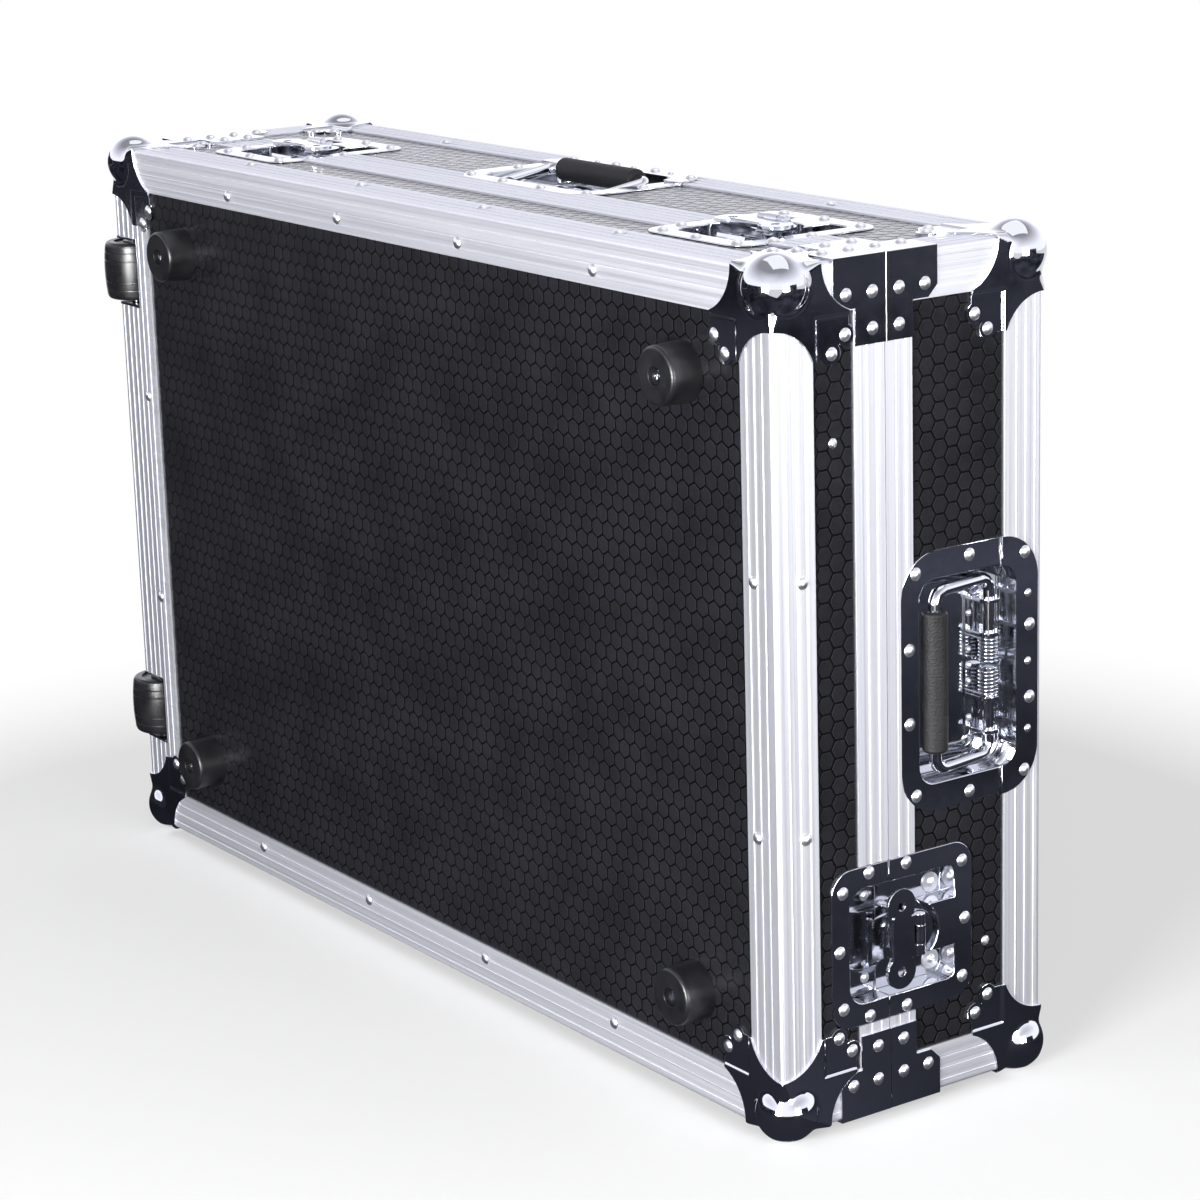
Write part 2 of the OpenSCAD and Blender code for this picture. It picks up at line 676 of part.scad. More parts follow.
// Wing: two knuckles on a pin through the post, and a plate with a lobe at each end and a low rib for
// the thumb
module wing_outline() {
    difference() {
        union() {
            translate([lobe_u - 8, -lobe_v]) square([15, 2 * lobe_v]);
            for (s = [-1, 1]) translate([lobe_u, s * lobe_v]) circle(lobe_r);
            translate([-12, -13]) square([12, 26]);
        }
        translate([-5, -post_half - 0.3]) square([10, 2 * post_half + 0.6]);
        for (s = [-1, 1]) translate([lobe_u, s * lobe_v]) circle(3);
    }
}
module wing_shape() translate([spindle_u, 0, wing_w]) {
    translate([0, 0, -wing_t / 2]) linear_extrude(wing_t) wing_outline();
    translate([lobe_u - 6.4, 0, wing_t / 2]) linear_extrude(1) rounded([1.8, 30], 0.8);
    for (s = [-1, 1]) translate([0, s * (post_half + 3.65), 0]) rotate([90, 0, 0])
        cylinder(r = 3.4, h = 6.7, center = true);
    rotate([90, 0, 0]) cylinder(r = 2, h = 2 * post_half + 8, center = true);
}
module front_left_spindle() color(chrome) front_left() spindle_shape();
module front_right_spindle() color(chrome) front_right() spindle_shape();
module right_end_spindle() color(chrome) right_end() spindle_shape();
module left_end_spindle() color(chrome) left_end() spindle_shape();
module front_left_wing() color(chrome) front_left() wing_shape();
module front_right_wing() color(chrome) front_right() wing_shape();
module right_end_wing() color(chrome) right_end() wing_shape();
module left_end_wing() color(chrome) left_end() wing_shape();
module front_left_hook() color(chrome) front_left() hook_shape();
module front_right_hook() color(chrome) front_right() hook_shape();
module right_end_hook() color(chrome) right_end() hook_shape();
module left_end_hook() color(chrome) left_end() hook_shape();

// Handle: a pressed dish whose plate climbs over the lid's edging
climb = case_t - flange - 0.3 - handle_y;
plate_corner = 28;
function plate_top(u) = u > climb - step ? plate : face + plate;
// The part of the plate that lies between two lines across it
module plate_part(from, to) intersection() {
    rounded([plate_w, plate_l], plate_corner);
    translate([from, -plate_l]) square([to - from, 2 * plate_l]);
}
module handle_cup(bottom, top) translate([recess_shift, 0, bottom]) linear_extrude(top - bottom)
    rounded(handle_recess + 2 * plate * [1, 1], cup_corner + plate);
module handle_dish() difference() {
    union() {
        translate([0, 0, face]) linear_extrude(plate) plate_part(-plate_w, climb);
        translate([0, 0, face]) linear_extrude(plate - face) plate_part(climb - step, climb);
        linear_extrude(plate) plate_part(climb - step, plate_w);
        handle_cup(handle_floor - plate, face + plate / 2);
        intersection() {
            handle_cup(face, plate / 2);
            slab([climb - step, -99, -9], [99, 99, 9]);
        }
    }
    translate([recess_shift, 0, handle_floor]) linear_extrude(40) rounded(handle_recess, cup_corner);
}
module front_handle_dish() color(chrome) front_handle() handle_dish();
module right_handle_dish() color(chrome) right_handle() handle_dish();
module left_handle_dish() color(chrome) left_handle() handle_dish();

// Hinge bracket: one foot, and two lugs for each end of the bail. Here and below the hinge line is the v axis
floor_w = handle_floor - pivot_w;
lug_t = 2.5;
inner_lug = 19;
outer_lug = 40;
lug_r = 7;
bracket_rivets = [0, 10, 33];
bracket_edge = 12.5;
bracket_rivet_in = 9.7;
module lug(v) translate([0, v + lug_t, 0]) rotate([90, 0, 0]) linear_extrude(lug_t) difference() {
    union() {
        translate([-lug_r, floor_w]) square([2 * lug_r, -floor_w]);
        circle(lug_r);
    }
    circle(bail_r + 0.05);
}
module hinge_bracket() for (s = [0, 1]) mirror([0, s, 0]) {
    slab([-bracket_edge, 0, floor_w], [lug_r, outer_lug + lug_t + 2, floor_w + plate]);
    lug(inner_lug);
    lug(outer_lug);
}
module handle_hinge_brackets() color(chrome) each_pivot_line() hinge_bracket();

// Return spring: one unbroken wire, wound round the bail's end inside the inner lug, with both legs on
// the bracket
wire_r = 0.9;
coil_r = 5.5;
coil_pitch = 2.3;
curl_rings = 8;
wire_sides = 6;
coil_start = 2.6;
leg_end = floor_w + plate;
spring_rings = spring_turns * curl_rings;
spring_path = concat(
    [[coil_r, coil_start, leg_end], [coil_r, coil_start, -2]],
    [for (i = [0:spring_rings]) let (a = 360 * i / curl_rings)
        [coil_r * cos(a), coil_start + coil_pitch * i / curl_rings, coil_r * sin(a)]],
    [for (w = [-2, leg_end]) [-coil_r, coil_start + spring_turns * coil_pitch, w]]);
function unit(p) = p / norm(p);
function run(path, i) = unit(path[min(i + 1, len(path) - 1)] - path[max(i - 1, 0)]);
// The legs stand square on the bracket, so their first and last rings lie flat on it
function spring_ring(i) = let (
    ends = i == 0 || i == len(spring_path) - 1,
    along = ends ? [0, 0, i == 0 ? 1 : -1] : run(spring_path, i),
    side = unit(cross(along, [0, 1, 0])),
    up = cross(side, along))
    [for (k = [0:wire_sides - 1]) let (a = 360 * k / wire_sides)
        spring_path[i] + wire_r * (cos(a) * side + sin(a) * up)];
spring_points = [for (i = [0:len(spring_path) - 1]) each spring_ring(i)];
spring_last = len(spring_path) - 1;
spring_faces = concat(
    [for (i = [0:spring_last - 1], k = [0:wire_sides - 1])
        let (a = i * wire_sides, b = a + wire_sides, n = (k + 1) % wire_sides)
        each [[a + k, a + n, b + k], [a + n, b + n, b + k]]],
    [for (k = [1:wire_sides - 2]) [0, k + 1, k]],
    [for (k = [1:wire_sides - 2]) spring_last * wire_sides * [1, 1, 1] + [0, k, k + 1]]);
// Least gap between two turns, measured between points at least half a turn apart
spring_gap = min([for (i = [0:spring_last], j = [0:spring_last]) if (j - i >= curl_rings / 2)
    norm(spring_path[i] - spring_path[j])]) - 2 * wire_r;
echo(str("least gap of the spring to itself: ", spring_gap, " mm"));
module handle_springs() color(chrome) each_pivot_line() for (s = [0, 1]) mirror([0, s, 0])
    polyhedron(spring_points, spring_faces);

// Bail: one rod, bent to a U, whose ends turn inwards through the lugs
pin_end = 1.5;
module bail() rotate([0, bail_slope, 0]) {
    straight = bail_half - bend_r;
    for (s = [0, 1]) mirror([0, s, 0]) {
        translate([0, straight, 0]) rotate([90, 0, 0]) cylinder(r = bail_r, h = straight - pin_end);
        translate([-bend_r, straight, 0]) rotate_extrude(angle = 90) translate([bend_r, 0]) circle(bail_r);
        translate([-bend_r, bail_half, 0]) rotate([0, -90, 0])
            cylinder(r = bail_r, h = bail_reach - 2 * bend_r);
        translate([bend_r - bail_reach, straight, 0]) rotate([0, 0, 90])
            rotate_extrude(angle = 90) translate([bend_r, 0]) circle(bail_r);
    }
    translate([-bail_reach, straight, 0]) rotate([90, 0, 0]) cylinder(r = bail_r, h = 2 * straight);
}
grip_edge = 2.5;
module grip() rotate([0, bail_slope, 0]) translate([-bail_reach, 0, 0]) rotate([90, 0, 0]) rotate_extrude()
    difference() {
        union() {
            square([grip_r, grip_l - 2 * grip_edge], center = true);
            translate([0, -grip_l / 2]) square([grip_r - grip_edge, grip_l]);
            translate([0, grip_edge - grip_l / 2]) square([grip_r, grip_l - 2 * grip_edge]);
            for (s = [-1, 1]) translate([grip_r - grip_edge, s * (grip_l / 2 - grip_edge)]) circle(grip_edge);
        }
        translate([-grip_r, -grip_l]) square([grip_r + bail_r, 2 * grip_l]);
    }
module front_handle_bail() color(chrome) front_pivot_line() bail();
module right_handle_bail() color(chrome) right_pivot_line() bail();
module left_handle_bail() color(chrome) left_pivot_line() bail();
module front_handle_grip() color(rubber) front_pivot_line() grip();
module right_handle_grip() color(rubber) right_pivot_line() grip();
module left_handle_grip() color(rubber) left_pivot_line() grip();

// Boards of the lid
module lid_board() color(laminate)
    slab([alu, case_t + back, alu], [case_l - alu, case_t - alu, case_w - alu]);
lid_wall_end = case_t + back;
module lid_pockets() {
    latch_pockets();
    handle_pockets();
}
module lid_front_wall() color(laminate) difference() {
    slab([alu, lid_wall_start, case_w + back], [case_l - alu, lid_wall_end, case_w - alu]);
    lid_pockets();
}
module lid_back_wall() color(laminate)
    slab([alu, lid_wall_start, alu], [case_l - alu, lid_wall_end, -back]);
module lid_end_wall(x0) slab([x0, lid_wall_start, -back], [x0 + board, lid_wall_end, case_w + back]);
module lid_right_wall() color(laminate) difference() {
    lid_end_wall(case_l + back);
    lid_pockets();
}
module lid_left_wall() color(laminate) difference() {
    lid_end_wall(alu);
    lid_pockets();
}
module lid_edge_angles() color(aluminium) difference() {
    edge_angles(1, tray_d + lid_profile, case_t - angle_end, [0, 1]);
    handle_pockets();
}

// Foam lining, in four strips under the inner flange of the parting profile and one sheet on each big board
module foam_strips(y0, y1) {
    for (z = [-back, case_w + foam_face]) slab([-back, y0, z], [case_l + back, y1, z + foam]);
    for (x = [-back, case_l + foam_face]) slab([x, y0, -foam_face], [x + foam, y1, case_w + foam_face]);
}
module tray_foam_floor() color(foam_grey) difference() {
    slab([-back, -back, -back], [case_l + back, -foam_face, case_w + back]);
    wheel_wells(0.5);
}
module tray_foam_sides() color(foam_grey) difference() {
    foam_strips(-foam_face, tray_end - inner_flange - 0.5);
    wheel_wells(0.5);
    latch_pockets(0.5);
}
// The knife cuts the foam square behind the round corners of a handle's cup
module foam_cuts() each_handle() translate([recess_shift, 0, 0]) slab(
    [-foam_cut[0], -foam_cut[1], handle_floor - plate - 0.5], [foam_cut[0], foam_cut[1], 20]);
foam_cut = handle_recess / 2 + (plate + 0.5) * [1, 1];
module lid_foam_top() color(foam_grey) difference() {
    slab([-back, case_t + foam_face, -back], [case_l + back, case_t + back, case_w + back]);
    foam_cuts();
}
module lid_foam_sides() color(foam_grey) difference() {
    foam_strips(lid_start + inner_flange + 0.5, case_t + foam_face);
    latch_pockets(0.5);
    foam_cuts();
}

stand() tray_board();
stand() tray_front_wall();
stand() tray_back_wall();
stand() tray_right_wall();
stand() tray_left_wall();
stand() tray_edge_angles();
stand() wheel_end_angle();
stand() tray_parting_profile();
stand() tray_ball_corners();
stand() tray_corner_braces();
stand() tray_rivets();
stand() rubber_feet();
stand() foot_screws();
stand() wheel_brackets();
stand() wheel_axles();
stand() upper_wheel();
stand() lower_wheel();
stand() tray_latch_dishes();
stand() latch_keepers();
stand() tray_foam_floor();
stand() tray_foam_sides();
stand() lid_board();
stand() lid_front_wall();
stand() lid_back_wall();
stand() lid_right_wall();
stand() lid_left_wall();
stand() lid_edge_angles();
stand() lid_parting_profile();
stand() lid_ball_corners();
stand() lid_corner_braces();
stand() lid_rivets();
stand() lid_latch_dishes();
stand() lid_foam_top();
stand() lid_foam_sides();
stand() front_handle_dish();
stand() right_handle_dish();
stand() left_handle_dish();
stand() handle_hinge_brackets();
stand() handle_springs();
stand() front_handle_bail();
stand() right_handle_bail();
stand() left_handle_bail();
stand() front_handle_grip();
stand() right_handle_grip();
stand() left_handle_grip();
stand() front_left_spindle();
stand() front_left_wing();
stand() front_left_hook();
stand() front_right_spindle();
stand() front_right_wing();
stand() front_right_hook();
stand() right_end_spindle();
stand() right_end_wing();
stand() right_end_hook();
stand() left_end_spindle();
stand() left_end_wing();
stand() left_end_hook();
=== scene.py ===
"""Looks of the controller case: finishes for every part, and the pieces that are pressed, foamed or wound.

Metres, in the frame of the parts: X along the case, Y from the feet face to the lid's face, Z up from the floor.
"""

import json
import math

import bmesh
import bpy
import numpy as np
from mathutils import Matrix, Vector
from mathutils.geometry import delaunay_2d_cdt


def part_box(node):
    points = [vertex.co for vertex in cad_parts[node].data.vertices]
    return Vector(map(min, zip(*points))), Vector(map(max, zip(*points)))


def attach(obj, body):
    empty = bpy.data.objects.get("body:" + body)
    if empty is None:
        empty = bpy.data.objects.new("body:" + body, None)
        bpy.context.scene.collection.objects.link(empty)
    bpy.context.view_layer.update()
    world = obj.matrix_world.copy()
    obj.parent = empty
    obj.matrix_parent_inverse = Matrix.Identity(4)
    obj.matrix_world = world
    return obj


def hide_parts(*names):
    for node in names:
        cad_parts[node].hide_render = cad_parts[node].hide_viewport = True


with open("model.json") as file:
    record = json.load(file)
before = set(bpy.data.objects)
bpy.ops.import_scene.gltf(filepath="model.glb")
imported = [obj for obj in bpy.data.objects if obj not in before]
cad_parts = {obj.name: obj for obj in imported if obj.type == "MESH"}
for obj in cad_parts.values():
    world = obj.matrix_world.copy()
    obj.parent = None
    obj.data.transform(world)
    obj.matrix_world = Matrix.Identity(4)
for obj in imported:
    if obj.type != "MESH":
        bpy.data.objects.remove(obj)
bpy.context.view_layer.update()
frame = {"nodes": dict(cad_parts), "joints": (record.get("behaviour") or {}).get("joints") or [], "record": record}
nodes = frame["nodes"]
scene = bpy.context.scene
MM = 0.001

# The case's outer planes and its parting line, read from the edging
lid_low, lid_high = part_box("lid_edge_angles")
LEFT, RIGHT = lid_low.x, lid_high.x
BOTTOM, TOP = lid_low.z, lid_high.z
FEET_FACE, LID_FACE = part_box("tray_edge_angles")[0].y, lid_high.y
CASE_MIDDLE = ((LEFT + RIGHT) / 2, (FEET_FACE + LID_FACE) / 2, (BOTTOM + TOP) / 2)
PARTING = (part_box("tray_corner_braces")[1].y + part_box("lid_corner_braces")[0].y) / 2


def linear(code):
    """The linear colour of an sRGB hex code, with an alpha of 1."""
    parts = [int(code[i : i + 2], 16) / 255 for i in (1, 3, 5)]
    return [c / 12.92 if c <= 0.04045 else ((c + 0.055) / 1.055) ** 2.4 for c in parts] + [1.0]


def add(tree, kind, inputs=(), **settings):
    """Adds one shader node with its settings. inputs are pairs of a socket and a value or another node's output."""
    made = tree.nodes.new("ShaderNode" + kind)
    for name, value in settings.items():
        setattr(made, name, value)
    for socket, value in inputs:
        if isinstance(value, bpy.types.NodeSocket):
            tree.links.new(value, made.inputs[socket])
        else:
            made.inputs[socket].default_value = value
    return made


def new_material(name, **sockets):
    """A material with one Principled shader, whose plain sockets are set here."""
    mat = bpy.data.materials.new(name)
    mat.use_nodes = True
    shader = mat.node_tree.nodes["Principled BSDF"]
    for socket, value in sockets.items():
        shader.inputs[socket.replace("_", " ")].default_value = value
    return mat, mat.node_tree, shader


def noise(tree, scale, detail=3.0, stretch=(1, 1, 1)):
    """Noise on Object coordinates. scale counts features per metre."""
    place = add(tree, "TexCoord").outputs["Object"]
    turned = add(tree, "Mapping", [("Vector", place), ("Scale", stretch)]).outputs["Vector"]
    return add(tree, "TexNoise", [("Vector", turned), ("Scale", scale), ("Detail", detail)]).outputs["Fac"]


def spread(tree, value, low, high, start=0.3, end=0.7):
    """Maps value from start..end to low..high."""
    inputs = [("Value", value), ("From Min", start), ("From Max", end), ("To Min", low), ("To Max", high)]
    return add(tree, "MapRange", inputs).outputs["Result"]


def blend_colours(tree, factor, first, second):
    """A mix of two sRGB hex colours by a factor."""
    made = add(tree, "Mix", data_type="RGBA")
    tree.links.new(factor, made.inputs[0])
    made.inputs[6].default_value = linear(first)
    made.inputs[7].default_value = linear(second)
    return made.outputs[2]


def bump(tree, shader, height, distance, strength=1.0):
    """Tilts a shader's normal by a height from 0 to 1, where 1 is distance in metres."""
    made = add(tree, "Bump", [("Height", height), ("Distance", distance), ("Strength", strength)])
    tree.links.new(made.outputs["Normal"], shader.inputs["Normal"])


# Phenolic film, rubber and nylon all bend light about as much as glass does
RESIN_IOR = 1.52


def laminate_material(name, dark, light, roughness):
    """Phenolic film on birch plywood, hot pressed with a honeycomb plate: hard, dark, a low sheen and faint dust."""
    mat, tree, shader = new_material(name, IOR=RESIN_IOR)
    tree.links.new(blend_colours(tree, spread(tree, noise(tree, 24), 0, 1), dark, light), shader.inputs["Base Color"])
    tree.links.new(spread(tree, noise(tree, 160), roughness - 0.05, roughness + 0.07), shader.inputs["Roughness"])
    bump(tree, shader, noise(tree, 2600, 2), 0.00004)
    return mat


def aluminium_material(name, stretch, roughness):
    """Extruded aluminium, clear anodised: pale, with fine drawing lines along its length and a soft wide sheen."""
    mat, tree, shader = new_material(name, Metallic=0.9)
    lines = noise(tree, 1.0, 2, stretch)
    tree.links.new(blend_colours(tree, spread(tree, lines, 0, 1), "#d3d4dc", "#e2e3e9"), shader.inputs["Base Color"])
    tree.links.new(spread(tree, lines, roughness, roughness + 0.08), shader.inputs["Roughness"])
    bump(tree, shader, lines, 0.00001, 0.5)
    return mat


def plated_material(name, colour, roughness, dents):
    """Pressed steel, nickel and chrome plated: mirror bright, with the faint waves that the press leaves."""
    mat, tree, shader = new_material(name, Metallic=1.0)
    shader.inputs["Base Color"].default_value = linear(colour)
    smears = noise(tree, 90, 4)
    tree.links.new(spread(tree, smears, roughness, roughness + 0.07), shader.inputs["Roughness"])
    bump(tree, shader, noise(tree, 55, 2), dents)
    return mat


def rubber_material(name, colour, roughness, grain, depth=0.06, gloss=0.5):
    """Moulded black rubber or nylon: a little sheen on a fine grain, greyer where it is handled.

    grain counts its grains per metre and depth is theirs in millimetres. gloss is below 0.5 where pores eat the sheen.
    """
    mat, tree, shader = new_material(name, IOR=RESIN_IOR, Specular_IOR_Level=gloss)
    worn = spread(tree, noise(tree, 75, 5), 0, 1, 0.35, 0.8)
    tree.links.new(blend_colours(tree, worn, colour, "#1b1b1e"), shader.inputs["Base Color"])
    tree.links.new(spread(tree, worn, roughness, roughness + 0.1, 0, 1), shader.inputs["Roughness"])
    bump(tree, shader, noise(tree, grain, 2), depth * MM)
    return mat


def foam_material():
    """Closed-cell polyethylene foam, sliced: dark grey, dull, with pinholes a third of a millimetre wide, painted
    darker than the cell walls as painted shade in their hollows.
    """
    mat, tree, shader = new_material("polyethylene_foam", Roughness=0.95)
    cells = add(tree, "TexVoronoi", [("Vector", add(tree, "TexCoord").outputs["Object"]), ("Scale", 900)])
    depth = cells.outputs["Distance"]
    # Painted shade: darker towards each pinhole's middle, where the hollow lies
    wall = spread(tree, depth, 0, 1, 0, 0.6)
    tree.links.new(blend_colours(tree, wall, "#2b2b2e", "#46464b"), shader.inputs["Base Color"])
    bump(tree, shader, depth, 0.00025)
    return mat


# Painted shade: the board between the cells and the cells' groove sides are near black, darker than the cells' own
# film, for the shade down in the grooves
laminate = laminate_material("phenolic_laminate", "#040405", "#060607", 0.18)
laminate_groove_shade = laminate_material("groove_side_painted_shade", "#020203", "#040405", 0.85)
laminate_cells = laminate_material("pressed_honeycomb", "#141417", "#1b1b1f", 0.16)
# The drawing lines of aluminium: how many to a metre along a bar and across it
ALONG, ACROSS = 2, 900
aluminium = [
    aluminium_material("drawn_aluminium_" + along, stretch, roughness)
    for along, stretch, roughness in (("x", (ALONG, ACROSS, ACROSS), 0.5), ("y", (ACROSS, ALONG, ACROSS), 0.42),
                                      ("z", (ACROSS, ACROSS, ALONG), 0.42))
]
plate_steel = plated_material("chrome_plated_steel", "#d2d4da", 0.06, 0.0001)
ball_steel = plated_material("polished_chrome_steel", "#d0d2d8", 0.03, 0.00003)
nickel = plated_material("nickel_rivet", "#e6e6ea", 0.3, 0.00002)
spring_wire = plated_material("spring_steel", "#b9bcc4", 0.15, 0.00001)
foot_rubber = rubber_material("moulded_rubber", "#0e0e10", 0.30, 1800)
grip_rubber = rubber_material("grip_rubber", "#070708", 0.55, 800, 0.5, 0.3)
wheel_nylon = rubber_material("moulded_nylon", "#101012", 0.26, 2400)
foam = foam_material()


# CAD meshes come as loose triangles: points nearer than MERGE are one, and bends under FLAT belong to a flat face
MERGE, FLAT = 0.002 * MM, math.radians(0.5)
NORMAL_WEIGHT = 60


def dress(names, mat, bevel=0.25, angle=35):
    """Gives CAD nodes a finish, and edges rounded by bevel millimetres. Their own meshes stay as they are."""
    for name in names:
        part = nodes[name]
        part.data.materials.clear()
        part.data.materials.append(mat)
        soften(part, bevel, angle)


def soften(part, bevel, angle):
    """Merges a mesh's loose triangles, rounds its edges by bevel millimetres and smooths what is curved."""
    part.data.polygons.foreach_set("use_smooth", np.ones(len(part.data.polygons), bool))
    weld = part.modifiers.new("weld", "WELD")
    weld.merge_threshold = MERGE
    flat = part.modifiers.new("flat", "DECIMATE")
    flat.decimate_type = "DISSOLVE"
    flat.angle_limit = FLAT
    round_edge = part.modifiers.new("round_edge", "BEVEL")
    round_edge.width = bevel * MM
    round_edge.segments = 2
    round_edge.limit_method = "ANGLE"
    round_edge.angle_limit = math.radians(angle)
    round_edge.use_clamp_overlap = True
    round_edge.miter_outer = "MITER_ARC"
    even = part.modifiers.new("even", "WEIGHTED_NORMAL")
    even.keep_sharp = True
    even.weight = NORMAL_WEIGHT


# The nodes whose names end like this get a modelled piece of their own further down
REBUILT = ("_ball_corners", "_latch_dishes", "_handle_dish", "_springs")
steel_nodes = [m["node"] for m in frame["record"]["subparts"] if m["material_slot"] == "steel"]
dress([n for n in nodes if n.endswith(("_board", "_wall"))], laminate, 0.1)
dress([n for n in steel_nodes if not n.endswith(REBUILT)], plate_steel)
dress(["tray_rivets", "lid_rivets"], nickel, 0.05, 60)
dress(["rubber_feet"], foot_rubber, 0.3)
dress([n for n in nodes if n.endswith("_grip")], grip_rubber, 0.3)
dress(["upper_wheel", "lower_wheel"], wheel_nylon, 0.3)
edging_nodes = [n for n in nodes if n.endswith(("_angles", "_angle", "_profile"))]
dress(edging_nodes, aluminium[0], 0.15)

# The drawing lines run along each bar: near one edge of the case it lies along X or Z, in a corner along Y
BAR_WIDE = 36 * MM
for name in edging_nodes:
    mesh = nodes[name].data
    mesh.materials.append(aluminium[1])
    mesh.materials.append(aluminium[2])
    middles = np.empty(3 * len(mesh.polygons))
    mesh.polygons.foreach_get("center", middles)
    middles = middles.reshape(-1, 3)
    at_end = np.minimum(middles[:, 0] - LEFT, RIGHT - middles[:, 0]) < BAR_WIDE
    at_side = np.minimum(middles[:, 2] - BOTTOM, TOP - middles[:, 2]) < BAR_WIDE
    mesh.polygons.foreach_set("material_index", np.where(at_end & at_side, 1, np.where(at_end, 2, 0)))


def surface(name, points, faces, mat, body, smooth=True):
    """A mesh object from points in metres and index lists, which rides on a body."""
    mesh = bpy.data.meshes.new(name)
    mesh.from_pydata(points.tolist(), [], faces)
    mesh.polygons.foreach_set("use_smooth", np.full(len(mesh.polygons), smooth))
    mesh.materials.append(mat)
    made = bpy.data.objects.new(name, mesh)
    scene.collection.objects.link(made)
    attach(made, body)
    return made


# Ball corner, in millimetres from the corner of the edging with the case in the positive octant. SHELL is the plates'
# height over the edging, ARCH the circle left out round an edge profile, EAR the round end of a plate's ear, STEP_AT
# where the plate steps down to the board, and FILLET the round where the ball rises
BALL_R, BALL_IN, SHELL = 19.5, 12.0, 1.4
ARCH_R, ARCH_AT = 31.0, 67.0
EAR_R, EAR_FAR, EAR_NEAR, SIDE_OUT = 6.5, 53.5, 43.5, 3
STEP_AT, STEP, EAR_TOP = 30.3, 3.0, 0.2
BEND, BALL_BEND, FILLET = 1.6, 6.5, 2.6
# The bend eases off from EASE_IN under the ball's surface, over EASE_OVER
EASE_IN, EASE_OVER = 1, 13
# Its mesh: the distance from point to point and from row to row, the shift of every second row, where the rows end,
# how near to the rim a point may lie, and how far from the ball's centre all points are kept
GRID, ROW, SHIFT, GRID_END, RIM_GAP, ALL_KEPT = 1.25, 1.1, 0.6, 60, 0.75, 27
# The bent edge has a point every GRID up to EDGE_FINE, and the rim has these counts on its arch, ear and straight piece
EDGE_FINE, ARCH_POINTS, EAR_POINTS, BETWEEN = 30, 40, 26, 8
# The rim turns over in rings, each given by its distance inside the outline, its depth and how far it has turned
TURNED = 0.25
RIM_TURN = ((0.07, 0.08, 0.5), (0.0, TURNED, 1.0), (0.0, 1.7, 1.0))
# The shell is looked for on a ray from NEAREST to FARTHEST past the given point, and slopes are taken over short steps
NEAREST, FARTHEST, HALVINGS, SLOPE_STEP, TILT_STEP = 2.0, 30, 44, 0.01, 0.02
# Points of the cut closer than MEET are one, and a triangle is left out where its doubled area is under LEAST_AREA
MEET, LEAST_AREA = 1e-5, 1e-13


def smooth_step(x):
    """Goes from 0 to 1 as 3 x^2 - 2 x^3, level at both ends."""
    x = np.clip(x, 0, 1)
    return x * x * (3 - 2 * x)


def shell_distance(p):
    """Signed distance to a pressed corner: three planes with bent edges, and a ball with a fillet where it rises.

    a = |max(q, 0)| + min(max(q), 0) - e for the planes, with q = e - SHELL - p, and b = |p - c| - BALL_R. The bend e
    eases from BALL_BEND at the ball to BEND a little further out. Planes and ball join as
    b + (a - b) h - FILLET h (1 - h), with h = clamp(1/2 + (b - a) / (2 FILLET)).
    """
    b = np.linalg.norm(p - BALL_IN, axis=-1) - BALL_R
    bend = BEND + (BALL_BEND - BEND) * (1 - smooth_step((b + EASE_IN) / EASE_OVER))
    q = bend[..., None] - SHELL - p
    a = np.linalg.norm(np.maximum(q, 0), axis=-1) + np.minimum(q.max(-1), 0) - bend
    h = np.clip(0.5 + (b - a) / (2 * FILLET), 0, 1)
    return b + (a - b) * h - FILLET * h * (1 - h)


def on_shell(p):
    """Moves points along rays from the ball's centre onto the shell, by halving, and returns them with normals."""
    ray = p - BALL_IN
    length = np.linalg.norm(ray, axis=-1, keepdims=True)
    ray = ray / length
    low, high = np.full(length.shape, NEAREST), length + FARTHEST
    for _ in range(HALVINGS):
        middle = (low + high) / 2
        inside = shell_distance(BALL_IN + ray * middle)[..., None] < 0
        low, high = np.where(inside, middle, low), np.where(inside, high, middle)
    found = BALL_IN + ray * low
    small = SLOPE_STEP * np.eye(3)
    slope = np.stack([shell_distance(found + e) - shell_distance(found - e) for e in small], -1)
    return found, slope / np.linalg.norm(slope, axis=-1, keepdims=True)


def arc(centre, radius, start, end, count):
    """Points on a circle from one angle to another, in degrees, both ends among them."""
    a = np.radians(np.linspace(start, end, count))
    return np.stack([centre[0] + radius * np.cos(a), centre[1] + radius * np.sin(a)], -1)


def corner_rim(inset):
    """The free edge of a corner's plate, from one bent edge to the other, pulled inwards by inset.

    Half of it is the arch round an edge profile, a straight piece, an ear's arc and half of the slope between the
    ears. The other half is its mirror image.
    """
    side = EAR_FAR + SIDE_OUT - inset
    arch = ARCH_R + inset
    first = math.degrees(math.asin(-SHELL / arch))
    last = math.degrees(math.acos((ARCH_AT - side) / arch))
    arch_part = arc((ARCH_AT, 0), arch, 180 - first, 180 - last, ARCH_POINTS)
    ear = EAR_R - inset
    low = math.degrees(math.asin((side - EAR_FAR) / ear)) - 90
    slope = inset * math.sqrt(2)
    ear_end = 135 - math.degrees(math.asin(inset / ear))
    ear_part = arc((EAR_FAR, EAR_NEAR), ear, low, ear_end, EAR_POINTS)
    between = np.linspace(arch_part[-1], ear_part[0], BETWEEN)[1:-1]
    half = np.concatenate([arch_part, between, ear_part])
    middle = np.array([[(EAR_FAR + EAR_NEAR - slope) / 2] * 2])
    return np.concatenate([half, middle, half[::-1, ::-1]])


def ear_drop(flat):
    """How far a plate has stepped down to the board, past STEP_AT from both bent edges."""
    return (SHELL - EAR_TOP) * smooth_step((flat.min(-1) - STEP_AT) / STEP)


